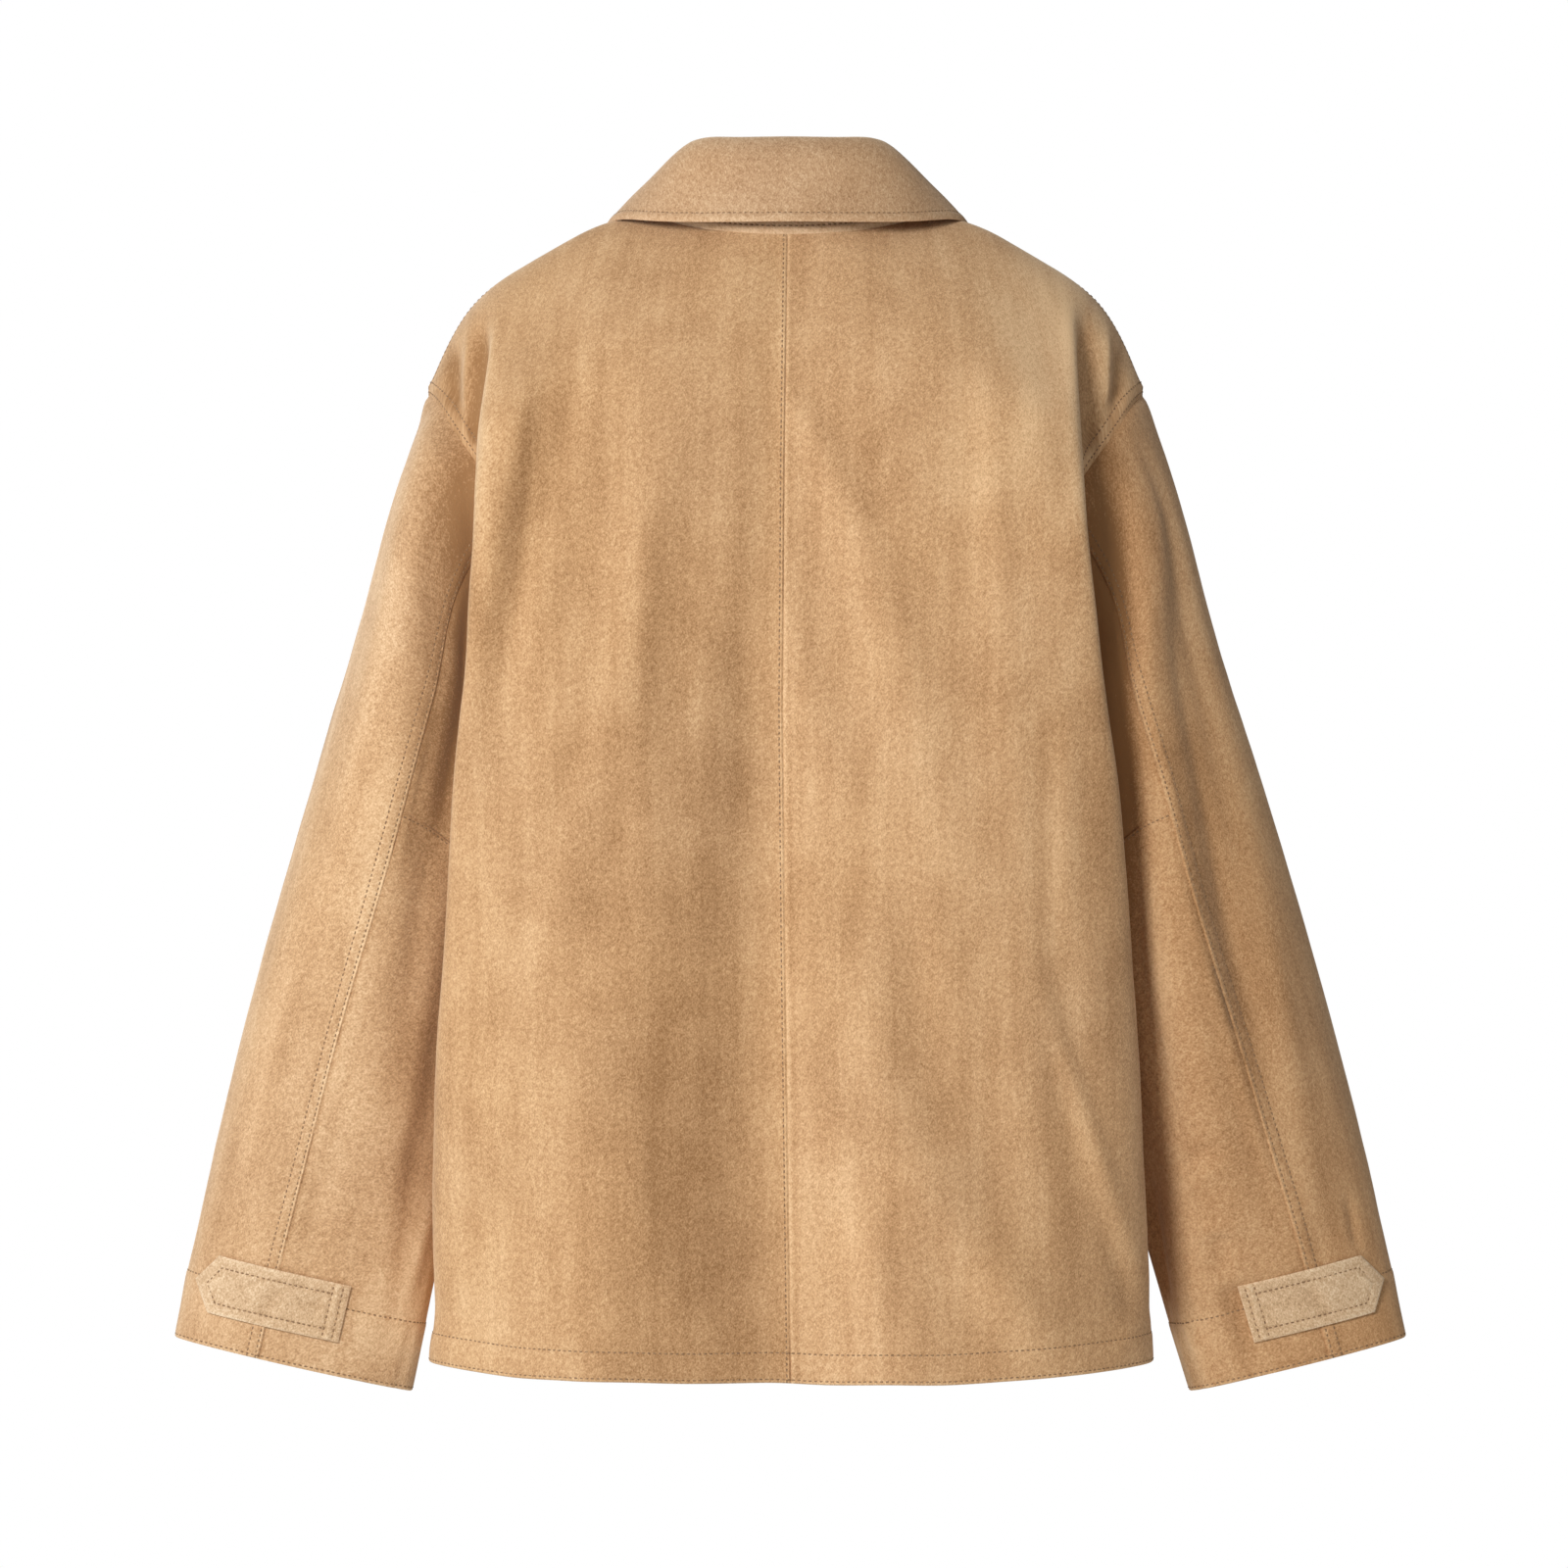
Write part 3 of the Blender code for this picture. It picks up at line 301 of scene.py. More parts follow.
# Back, sharp crests beside the armholes and what lies beyond them
CREST_CREASES = (
    # left: crest, troughs beyond it and a small ridge between them
    (177, -50, 177, -115, 181, -215, 5.0, 6.0, 3.0),
    (186, -52, 187, -105, 191, -180, 5.5, 7.0, -6.5),
    (194, -62, 194, -92, 195, -125, 3.0, 3.0, 1.8),
    (203, -68, 204, -95, 201, -130, 6.0, 5.0, -4.5),
    # right
    (-172, -38, -175, -110, -181, -215, 5.0, 6.0, 3.0),
    (-183, -44, -185, -105, -191, -180, 6.5, 7.5, -7.5),
    (-196, -58, -196, -88, -195, -118, 3.0, 3.0, 2.0),
    (-205, -68, -205, -95, -202, -125, 6.0, 5.0, -3.5),
)
FRONT_CREASES = (
    # from the armholes and over the chest
    (118, -150, 132, -230, 150, -330, 9, 13, -3.4),
    (92, -150, 108, -240, 122, -340, 12, 15, 2.4),
    (-112, -140, -126, -235, -148, -345, 9, 13, -3.0),
    (-86, -160, -104, -255, -118, -330, 12, 15, 2.2),
    (60, -130, 66, -200, 72, -290, 9, 12, -1.6),
    (-52, -120, -60, -190, -70, -270, 9, 12, -1.4),
    # hanging folds over the hem
    (58, -430, 64, -560, 70, -690, 13, 18, 3.2),
    (120, -470, 132, -580, 142, -690, 13, 18, -3.4),
    (170, -440, 182, -560, 200, -680, 10, 11, 3.0),
    (-62, -400, -70, -540, -76, -680, 13, 17, 2.8),
    (-112, -440, -118, -560, -126, -690, 13, 18, -3.2),
    (-166, -450, -176, -560, -196, -670, 10, 11, 2.8),
    (34, -520, 30, -610, 36, -690, 9, 12, -1.8),
    (-36, -480, -40, -590, -34, -680, 9, 12, -1.6),
)
# Sleeves, as turn and share of the length, three times, then widths in
# millimetres and height
LEFT_SLEEVE_CREASES = (
    # long ridges and troughs from the sleeve head to the cuff
    (0.09, -0.10, 0.40, 0.22, 0.53, 0.63, 26, 26, 4.7),
    (0.38, 0.07, 0.58, 0.11, 0.62, 0.70, 17, 8, -3.9),
    (0.40, 0.21, 0.49, 0.36, 0.69, 0.82, 26, 25, 3.5),
    (0.33, 0.03, 0.59, 0.14, 0.60, 0.49, 7, 11, -3.1),
    (0.38, 0.12, 0.61, 0.67, 1.03, 1.01, 18, 26, 3.1),
    (0.04, -0.06, 0.29, 0.10, 0.26, 0.41, 26, 26, 3.0),
    (0.03, -0.07, 0.02, 0.11, 0.11, 0.69, 17, 26, -2.8),
    (0.35, 0.43, 0.40, 0.66, 0.45, 0.86, 25, 17, -2.7),
    (0.05, -0.06, 0.29, 0.08, 0.40, 0.13, 19, 25, 2.2),
    # short creases at the elbow and above the cuff
    (0.53, 0.40, 0.59, 0.46, 0.65, 0.67, 7, 7, -2.1),
    (0.71, 0.44, 0.71, 0.70, 0.79, 0.98, 11, 6, 1.7),
    (0.72, 0.70, 0.75, 0.80, 0.77, 0.92, 8, 8, -2.0),
    (0.84, 0.78, 0.83, 0.85, 0.80, 0.93, 6, 6, 2.0),
    (0.53, 0.78, 0.545, 0.83, 0.57, 0.89, 8, 8, -1.5),
    (0.30, 0.03, 0.38, 0.10, 0.44, 0.20, 9, 9, -1.2),
    # round the front, hidden from behind
    (-0.30, 0.10, -0.42, 0.30, -0.46, 0.52, 10, 12, -3.0),
    (-0.50, 0.10, -0.62, 0.26, -0.70, 0.44, 10, 12, 2.6),
    (-0.72, 0.30, -0.52, 0.40, -0.28, 0.43, 8, 9, -2.8),
    (-0.74, 0.38, -0.54, 0.47, -0.30, 0.49, 8, 9, 2.6),
    (-0.20, 0.50, -0.26, 0.70, -0.30, 0.88, 12, 12, -2.4),
    (-0.62, 0.60, -0.58, 0.74, -0.60, 0.90, 10, 10, 2.0),
)
RIGHT_SLEEVE_CREASES = (
    # long ridges and troughs from the sleeve head to the cuff
    (0.44, 0.30, 0.66, 0.77, 0.94, 1.02, 22, 26, 7.0),
    (0.18, -0.01, 0.26, 0.35, 0.45, 0.68, 7, 25, -6.4),
    (0.34, 0.02, 0.46, 0.17, 0.70, 0.64, 16, 8, -6.2),
    (0.75, 0.68, 0.93, 0.85, 0.98, 0.90, 18, 25, -8.0),
    (0.40, 0.50, 0.60, 0.71, 0.44, 1.07, 26, 26, 3.8),
    (0.14, 0.19, -0.03, 0.60, -0.02, 1.00, 26, 25, 3.1),
    (0.21, 0.47, 0.39, 0.76, 0.43, 0.88, 9, 25, 2.8),
    (0.57, 0.41, 0.68, 0.56, 0.70, 0.77, 6, 6, -3.6),
    (0.44, 0.31, 0.51, 0.55, 0.49, 0.96, 6, 6, 2.8),
    # short creases above the cuff
    (0.74, 0.775, 0.68, 0.762, 0.62, 0.758, 4, 4, -2.4),
    (0.73, 0.80, 0.68, 0.785, 0.62, 0.78, 5, 5, 1.8),
    (0.67, 0.84, 0.68, 0.865, 0.71, 0.89, 6, 5, -2.6),
    (0.72, 0.845, 0.68, 0.84, 0.63, 0.848, 4, 4, 1.9),
    (0.81, 0.91, 0.80, 0.935, 0.79, 0.96, 4, 4, -1.8),
    (0.84, 0.90, 0.83, 0.935, 0.82, 0.97, 4, 4, 1.6),
    (0.26, 0.84, 0.27, 0.87, 0.29, 0.90, 6, 6, -1.7),
    # round the front, hidden from behind
    (-0.28, 0.12, -0.40, 0.30, -0.50, 0.50, 10, 12, -3.0),
    (-0.52, 0.08, -0.60, 0.28, -0.66, 0.46, 10, 12, 2.4),
    (-0.70, 0.34, -0.50, 0.42, -0.26, 0.45, 8, 9, -2.6),
    (-0.72, 0.42, -0.52, 0.50, -0.30, 0.52, 8, 9, 2.4),
    (-0.22, 0.54, -0.28, 0.72, -0.34, 0.90, 12, 12, -2.2),
    (-0.60, 0.62, -0.60, 0.76, -0.64, 0.90, 10, 10, 1.8),
)
print("creases:", len(BACK_CREASES), len(CREST_CREASES), len(FRONT_CREASES),
      len(LEFT_SLEEVE_CREASES), len(RIGHT_SLEEVE_CREASES))

# %% [markdown]
# ## Curves, steps and directions
# Tailors draw with a flexible curve held at a few points. A cubic spline is
# that curve in numbers. It is written here as weights, so one small table
# of weights times the table of points gives a whole grid at once.

# %% Splines, soft steps and unit vectors
def spline_weights(knots, places):
    """Share of each knot's value at each place, one row per place.

    A cubic spline whose second derivative stays level over the first and
    the last span.
    """
    knots = np.asarray(knots, float)
    count = len(knots)
    gaps = np.diff(knots)
    values = np.eye(count)
    system = np.zeros((count, count))
    target = np.zeros((count, count))
    system[0, :2] = (1.0, -1.0)
    system[-1, -2:] = (-1.0, 1.0)
    for row in range(1, count - 1):
        before, after = gaps[row - 1], gaps[row]
        system[row, row - 1:row + 2] = (before, 2 * (before + after), after)
        rise_after = (values[row + 1] - values[row]) / after
        rise_before = (values[row] - values[row - 1]) / before
        target[row] = 6 * (rise_after - rise_before)
    bends = np.linalg.solve(system, target)
    flat = np.asarray(places, float).ravel()
    span = np.clip(np.searchsorted(knots, flat) - 1, 0, count - 2)
    width = gaps[span][:, None]
    after = (flat - knots[span])[:, None] / width
    before = 1 - after
    curve = (before ** 3 - before) * bends[span] + (after ** 3 - after) * bends[span + 1]
    return before * values[span] + after * values[span + 1] + curve * width ** 2 / 6


def smooth_step(value):
    """3v² − 2v³, with v held between 0 and 1."""
    held = np.clip(value, 0.0, 1.0)
    return held * held * (3 - 2 * held)


def bell(distance, half_width):
    """exp(−(distance / half width)²)."""
    return np.exp(-(distance / half_width) ** 2)


def unit(vectors):
    """Vectors divided by their own length."""
    return vectors / np.linalg.norm(vectors, axis=-1, keepdims=True)


def toward(first, second, share):
    """first × (1 − share) + second × share, point by point."""
    share = np.asarray(share)[..., None]
    return first * (1 - share) + second * share


def arc_lengths(points, axis):
    """Length along the grid's lines from their first point: the running sum of the steps."""
    steps = np.linalg.norm(np.diff(points, axis=axis), axis=-1)
    start = np.zeros_like(np.take(steps, [0], axis=axis))
    return np.concatenate((start, np.cumsum(steps, axis=axis)), axis=axis)


# %% [markdown]
# ## The body's form
# The body is a tube of two fronts and two backs. Across each section of the
# table goes one spline, and over the sections goes another, so the surface
# is smooth both ways. The top edge of each half is the neck seam followed
# by the shoulder seam, and it is the last row of the surface.

# %% Collar line, shoulder seam and the body's surface
def collar_line(column, share):
    """Neck, roll or edge line at shares 0, centre back, to 1, centre front.

    A spline through the stations and their mirror images.
    """
    points = np.array([station[column] for station in COLLAR_STATIONS], float)
    points = np.concatenate((points[:0:-1] * MIRROR, points))
    knots = np.linspace(-1.0, 1.0, len(points))
    return spline_weights(knots, share) @ points


def neck_share(side, across):
    """Place along the collar: the back's share of it, or the front's, in proportion."""
    reach = np.minimum(np.abs(across) / NECK_SHARE, 1.0)
    if side == "back":
        return HIGH_SHOULDER_SHARE * reach
    return 1.0 - (1.0 - HIGH_SHOULDER_SHARE) * reach


def top_line(side, across):
    """Neck seam up to NECK_SHARE, then a spline along the shoulder seam."""
    reach = np.abs(across)
    neck = collar_line(0, neck_share(side, across))
    knots = np.linspace(0.0, 1.0, len(SHOULDER_SEAM))
    places = np.maximum(reach - NECK_SHARE, 0.0) / (1.0 - NECK_SHARE)
    shoulder = spline_weights(knots, places) @ np.array(SHOULDER_SEAM, float)
    points = np.where((reach <= NECK_SHARE)[:, None], neck, shoulder)
    points[:, 0] = np.abs(points[:, 0]) * np.sign(across)
    return points


def section_grid(side, across, level):
    """Grid of levels by places across: spline over stations times spline over levels."""
    table = BACK_SECTIONS if side == "back" else FRONT_SECTIONS
    levels = [row[0] for row in table] + [1.0]
    points = np.array([row[1:] for row in table], float)
    points = np.concatenate((points[:, :0:-1] * MIRROR, points), axis=1)
    stations = BACK_KNOTS if side == "back" else FRONT_KNOTS
    knots = np.concatenate((-np.array(stations[:0:-1]), stations))
    by_station = spline_weights(knots, across)
    by_level = spline_weights(levels, level)
    inside = np.einsum("cs,lr,rsk->lck", by_station, by_level[:, :-1], points)
    return inside + by_level[:, -1][:, None, None] * top_line(side, across)


def body_grid(side, across, level):
    """Left back or front. Under the arm both meet halfway between their own edges."""
    other = "front" if side == "back" else "back"
    edge = np.ones(1)
    apart = section_grid(other, edge, level) - section_grid(side, edge, level)
    near = (level < 0)[:, None] * smooth_step((np.abs(across) - 0.8) / 0.2)
    return section_grid(side, across, level) + apart * near[..., None] / 2


def facing(surface, first, second, limit=1.0):
    """Normals of a surface: the step along first crossed with the step along second."""
    small = 1e-3
    wide = (surface(np.minimum(first + small, limit), second)
            - surface(np.maximum(first - small, -limit), second))
    tall = surface(first, second + small) - surface(first, second - small)
    return unit(np.cross(wide, tall))


def body_facing(side, across, level):
    """Outward normals of a back or front."""
    normals = facing(lambda place, height: body_grid(side, place, height), across, level)
    return -normals if side == "back" else normals


# %% [markdown]
# ## The sleeves' form
# A sleeve is a tube that starts at the armhole. Its first ring is the
# armhole edge of the body itself, so the two can't part. Every later ring is
# an ellipse in the sleeve's own tilted plane, and a spline along the arm
# joins them.

# %% Rings and surface of a sleeve
def sleeve_rings(turn, hand):
    """Points of the armhole edge and of each ring at each turn: (turn, ring, xyz).

    Ring: middle + half width × cos(angle) along the outer to inner line,
    and half depth × sin(angle) in y. The angle turns so that the back seam
    swings round the arm, and the back of the ring leans outward by
    lean × sin(angle) × cos(angle). hand picks the lean and the cuff's tuck.
    """
    reach = np.abs(turn)
    back_edge = body_grid("back", np.ones(1), 1.0 - reach)[:, 0]
    front_edge = body_grid("front", np.ones(1), 1.0 - reach)[:, 0]
    armhole = np.where((turn >= 0)[:, None], back_edge, front_edge)
    table = np.array(SLEEVE_RINGS, float)
    share, outer_x, outer_z, inner_x, inner_z, back_y, front_y = table.T
    inner_x = inner_x + (RIGHT_CUFF_TUCK if hand < 0 else 0.0) * share ** 4
    swing = (np.sin(math.pi * turn) ** 2 * (turn > 0))[:, None]
    seam_turn = BACK_SEAM_TURN_AT_ARMHOLE + (
        BACK_SEAM_TURN_AT_CUFF - BACK_SEAM_TURN_AT_ARMHOLE) * share
    angle = math.pi * turn[:, None] + seam_turn * swing
    x = (outer_x + inner_x) / 2 + (outer_x - inner_x) / 2 * np.cos(angle)
    y = (back_y + front_y) / 2 + (back_y - front_y) / 2 * np.sin(angle)
    outward = np.where(np.cos(angle) > 0, 1.0, INNER_LEAN) * np.cos(angle)
    lean = np.interp(share, LEAN_SHARES, SLEEVE_LEAN[hand])
    y = y + lean * np.maximum(np.sin(angle), 0.0) * outward
    z = (outer_z + inner_z) / 2 + (outer_z - inner_z) / 2 * np.cos(angle)
    return np.concatenate((armhole[:, None], np.stack((x, y, z), axis=-1)), axis=1)


RING_KNOTS = (0.0,) + tuple(ring[0] for ring in SLEEVE_RINGS)


def sleeve_grid(turn, along, hand):
    """Left sleeve: one spline per turn over the rings, at a grid of shares along."""
    weights = spline_weights(RING_KNOTS, along).reshape(along.shape + (-1,))
    return np.einsum("rcg,cgk->rck", weights, sleeve_rings(turn, hand))


def sleeve_facing(turn, along, hand):
    """Outward normals of a sleeve."""
    return -facing(lambda place, share: sleeve_grid(place, share, hand), turn, along)


def elbow_share(turn):
    """Where the elbow seam crosses the sleeve: a soft slope up from the back seam."""
    inward = smooth_step((turn - BACK_SEAM) / (1.0 - BACK_SEAM))
    return ELBOW_SEAM + ELBOW_SEAM_SLANT * inward


# %% [markdown]
# ## The collar's form
# The stand rises from the neck seam and swells a little. The fall is
# hinged over its top along the roll line and hangs outside it, so its
# section is a spline from just inside the roll, over it, and down to the
# outer edge.

# %% Stand and fall
def stand_grid(share, rise):
    """Straight lines from neck seam to roll, swollen outward by sin(π × rise)."""
    neck, roll, edge = (collar_line(column, share) for column in range(3))
    out = unit((edge - roll) * (1, 1, 0))
    top = roll - (0, 0, COLLAR_CLOTH + STAND_DROP)
    rise = np.asarray(rise)[:, None, None]
    return neck + (top - neck) * rise + out * STAND_SWELL * np.sin(math.pi * rise)


def stand_facing(share, rise):
    """Outward normals of the stand."""
    return -facing(stand_grid, share, rise, math.inf)


def fall_grid(share, place):
    """Spline through start, roll, knee, belly and edge at each share round the neck."""
    roll, edge = (collar_line(column, share) for column in (1, 2))
    out = unit((edge - roll) * (1, 1, 0))
    start = roll - out * FALL_INSET
    top = roll + (0, 0, FALL_CLIMB)
    knee = roll + out * FALL_KNEE[0] + (0, 0, FALL_KNEE[1])
    belly = knee + (edge - knee) * FALL_BELLY_SHARE + out * FALL_BELLY[0] + (0, 0, FALL_BELLY[1])
    weights = spline_weights(FALL_KNOTS, place)
    return np.einsum("rk,knc->rnc", weights, np.stack((start, top, knee, belly, edge)))


def neck_facing(share):
    """Outward normals of back and front along the neck seam."""
    reach = np.abs(share)
    back_place = np.minimum(reach / HIGH_SHOULDER_SHARE, 1.0) * NECK_SHARE
    front_place = (1.0 - reach) / (1.0 - HIGH_SHOULDER_SHARE) * NECK_SHARE
    top = np.ones(1)
    back = body_facing("back", back_place, top)[0]
    front = body_facing("front", np.minimum(front_place, NECK_SHARE), top)[0]
    mix = smooth_step((reach - HIGH_SHOULDER_SHARE) / 0.06 + 0.5)
    nearer = unit(toward(back, front, mix))
    return nearer * np.stack((np.where(share < 0, -1.0, 1.0), np.ones_like(share),
                              np.ones_like(share)), axis=1)


# %% [markdown]
# ## Seams
# Where two pieces are sewn, their walls have to meet at the same slant or
# they would cut through each other. Each wall's thickness is therefore laid
# along the direction halfway between the two pieces' normals, like a mitre
# in a picture frame. At the armhole the cloth can fold right back on
# itself, and there each piece keeps its own direction.

# %% Wall directions at seams
def mitred(own, other):
    """Halfway direction, made longer so that the wall stays as thick."""
    halfway = unit(own + other + 1e-6 * own)
    reach = np.sum(halfway * own, axis=-1, keepdims=True)
    return halfway / np.maximum(reach, 0.7)


def valley(own, other):
    """Mitred where the pieces agree, and their own direction where they face each other."""
    agreement = np.sum(own * other, axis=-1, keepdims=True)
    share = smooth_step((agreement + 0.3) / 0.5)
    return own * (1 - share) + mitred(own, other) * share


SEAM_REACH = 14.0


def near_edge(distance):
    """1 at a seam, falling evenly to 0 at the reach of the mitre."""
    return np.clip(1.0 - distance / SEAM_REACH, 0.0, 1.0)


# %% [markdown]
# ## Relief of the cloth
# Three kinds of form lie on the smooth surface: the placed creases, an
# uneven rumple that suede always has, and the small drop beside every
# sewn line. The rumple is made of random heights on a coarse lattice,
# joined by smooth steps, in two sizes.

# %% Crease and rumple heights
def crease_height(places, creases):
    """Height of soft creases at places on a hanging or flat pattern.

    Each crease follows a quadratic curve through its three points, drawn
    as 20 straight bits. Its height is rise × bell(distance to the nearest
    bit, half width), and smooth steps fade both ends. The place along the
    curve is the mean of all bits, weighted by exp(−extra distance / 4).
    """
    height = np.zeros(places.shape[:-1])
    share = np.linspace(0.0, 1.0, 21)[:, None]
    for row in creases:
        first, middle, last = np.array(row[:6], float).reshape(3, 2)
        pull = 2 * middle - (first + last) / 2
        line = (1 - share) ** 2 * first + 2 * share * (1 - share) * pull + share ** 2 * last
        margin = 3 * max(row[6], row[7])
        low, high = line.min(axis=0) - margin, line.max(axis=0) + margin
        inside = ((places > low) & (places < high)).all(axis=-1)
        near = places[inside]
        step = np.diff(line, axis=0)
        offset = near[:, None, :] - line[:-1]
        forward = np.clip((offset * step).sum(-1) / (step * step).sum(-1), 0.0, 1.0)
        gap = np.linalg.norm(offset - forward[..., None] * step, axis=-1)
        least = gap.min(axis=1, keepdims=True)
        weight = np.exp((least - gap) / 4.0)
        place = (weight * (np.arange(len(step)) + forward)).sum(axis=1) / weight.sum(axis=1)
        place = place / len(step)
        half_width = row[6] + (row[7] - row[6]) * place
        ends = smooth_step(place / 0.35) * smooth_step((1 - place) / 0.3)
        height[inside] += row[8] * bell(least[:, 0], half_width) * ends
    return height


def rumple(first, second, first_wave, second_wave, seed):
    """Uneven height from −1 to 1: random lattice heights joined by smooth steps."""
    lattice = np.random.default_rng(seed).uniform(-1.0, 1.0, (64, 64))
    column, row = first / first_wave, second / second_wave
    left, low = np.floor(column).astype(int), np.floor(row).astype(int)
    across, up = smooth_step(column - left), smooth_step(row - low)
    corner = [[lattice[(left + i) % 64, (low + j) % 64] for i in (0, 1)] for j in (0, 1)]
    below = corner[0][0] * (1 - across) + corner[0][1] * across
    above = corner[1][0] * (1 - across) + corner[1][1] * across
    return below * (1 - up) + above * up


def soft_rumple(first, second, seed):
    """Long low waves along the cloth's length, with finer ones at a slant on top."""
    long = rumple(first, second, 46.0, 120.0, seed)
    slant = rumple(first + 0.4 * second, second - 0.3 * first, 27.0, 52.0, seed + 1)
    fine = rumple(first - 0.3 * second, second + 0.2 * first, 11.0, 19.0, seed + 2)
    return 0.3 * long + 0.25 * slant + 0.12 * fine

# %% [markdown]
# ## From grids to a closed piece
# A cut piece of suede is two faces, the nap outside and the flesh inside,
# with a thin rounded edge all round. The outer and the inner face are grids
# of the same size, so a strip of quads round the rim closes them. Each point
# also keeps its place on the flat cut, which the finish reads as a UV map,
# and a tone, which lightens or darkens the nap there: partly rubbed wear,
# partly painted light and shade.

# %% Grid lines, walls and meshes
MM = 0.001
SEAM_OVERLAP = 0.05
EDGE_ROUNDING = 1.1
# The flesh side is darker than the nap
FLESH_TONE = -0.25
stitch_rows = {"body": [], "sleeves": [], "collar": []}


def lines_on(places, arc, step, sewn=(), sewn_arc=None):
    """Places for the grid's rows or columns, every step along an arc length.

    Five closer lines go round each distance in sewn, measured from the
    start, or from the end where it is below zero.
    """
    sewn_arc = arc if sewn_arc is None else sewn_arc
    even = np.linspace(0.0, arc[-1], int(round(arc[-1] / step)) + 1)
    wanted = np.array(sewn, float)
    wanted = np.where(wanted < 0, sewn_arc[-1] + wanted, wanted)
    close = (wanted[:, None] + (-1.3, -0.6, 0.0, 0.6, 1.3)).ravel()
    close = close[(close > 0.3) & (close < sewn_arc[-1] - 0.3)]
    close = np.interp(np.interp(close, sewn_arc, places), places, arc)
    apart = np.ones(len(even), bool)
    if len(close):
        apart = np.abs(even[:, None] - close).min(axis=1) > 0.8
    apart[[0, -1]] = True
    chosen = np.unique(np.concatenate((even[apart], close)))
    return np.interp(chosen, arc, places)


def distances(grid):
    """Arc length to the first and last column, then to the first and last row."""
    across, up = arc_lengths(grid, 1), arc_lengths(grid, 0)
    return across, across[:, -1:] - across, up, up[-1:] - up


def nearest(*gaps):
    """The least of several distances, point by point."""
    return np.minimum.reduce(gaps)


def overlap_seams(grid, *edges):
    """Move edges of a grid a hair past their seams, so that no light shows through."""
    for edge in edges:
        lines = grid if edge.endswith("row") else grid.swapaxes(0, 1)
        target, source = (lines[0], lines[1]) if edge.startswith("first") else lines[-1:-3:-1]
        target += unit(target - source) * SEAM_OVERLAP


def cloth_wall(base, normals, thickness, lift, edge):
    """Outer and inner grids of a wall.

    Its middle lies half a thickness under the base. Either face is half a
    thickness away, × sqrt(1 − (1 − edge distance / rounding)²), and the
    lift raises the outer face alone.
    """
    near = np.minimum(edge / EDGE_ROUNDING, 1.0)
    share = np.sqrt(np.clip(1.0 - (1.0 - near) ** 2, 0.07, 1.0))
    middle = base - normals * thickness / 2
    half = thickness / 2 * share
    outer = middle + normals * (half + lift * near)[..., None]
    return outer, middle - normals * half[..., None]


def swayed(points):
    """Points moved sideways with the hanging cloth, by their height."""
    return points + np.interp(points[..., 2], SWAY_HEIGHTS, SWAY)[..., None] * (1, 0, 0)


def put_mesh(name, points, quads, finish, cut=None, tone=None):
    """Mesh object from arrays of points in millimetres and quads, faces outward.

    A quad whose last two corners are the same becomes a triangle.
    """
    first, second, third, fourth = (points[quads[:, corner]] - points[0] for corner in range(4))
    volume = (np.einsum("ij,ij->", first, np.cross(second, third))
              + np.einsum("ij,ij->", first, np.cross(third, fourth)))
    if volume < 0:
        quads = quads[:, ::-1]
    keep = quads != np.roll(quads, -1, axis=1)
    loops = quads[keep]
    starts = np.concatenate(([0], np.cumsum(keep.sum(axis=1))[:-1]))
    mesh = bpy.data.meshes.new(name)
    mesh.vertices.add(len(points))
    mesh.vertices.foreach_set("co", (points * MM).astype(np.float32).ravel())
    mesh.loops.add(len(loops))
    mesh.loops.foreach_set("vertex_index", loops.astype(np.int32))
    mesh.polygons.add(len(quads))
    mesh.polygons.foreach_set("loop_start", starts.astype(np.int32))
    mesh.update(calc_edges=True)
    if cut is not None:
        layer = mesh.uv_layers.new(name="cut")
        layer.uv.foreach_set("vector", (cut[loops] * MM).astype(np.float32).ravel())
    if tone is not None:
        shade = mesh.attributes.new("tone", "FLOAT", "POINT")
        shade.data.foreach_set("value", tone.astype(np.float32))
    mesh.materials.append(finish)
    mesh.shade_smooth()
    mesh.set_sharp_from_angle(angle=math.radians(50))
    made = bpy.data.objects.new(name, mesh)
    bpy.context.collection.objects.link(made)
    return made


def put_wall(name, outer, inner, cut, tone, finish, node):
    """Closed shell of an outer and an inner grid, which stands for one solid."""
    rows, columns = outer.shape[:2]
    count = rows * columns
    index = np.arange(count).reshape(rows, columns)
    sheet = np.stack((index[:-1, :-1], index[1:, :-1], index[1:, 1:], index[:-1, 1:]), axis=-1)
    sheet = sheet.reshape(-1, 4)
    rim = np.concatenate((index[0, :-1], index[:-1, -1], index[-1, :0:-1], index[:0:-1, 0]))
    after = np.roll(rim, -1)
    side = np.stack((rim, after, after + count, rim + count), axis=1)
    quads = np.concatenate((sheet, sheet[:, ::-1] + count, side))
    points = np.concatenate((outer.reshape(-1, 3), inner.reshape(-1, 3)))
    cut = np.tile(cut.reshape(-1, 2), (2, 1))
    tone = np.concatenate((tone.ravel(), np.full(count, FLESH_TONE)))
    piece = put_mesh(name, swayed(points), quads, finish, cut, tone)
    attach(piece, "root")
    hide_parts(node)
    area = np.linalg.norm(np.cross(outer[1:, :-1] - outer[:-1, :-1],
                                   outer[:-1, 1:] - outer[:-1, :-1]), axis=-1).sum() * 1e-6
    widest, longest = arc_lengths(outer, 1)[:, -1].max(), arc_lengths(outer, 0)[-1].max()
    print("%-28s %6d triangles, %.4f m², widest %.3f m, longest %.3f m"
          % (name, 2 * len(quads), area, widest * MM, longest * MM))


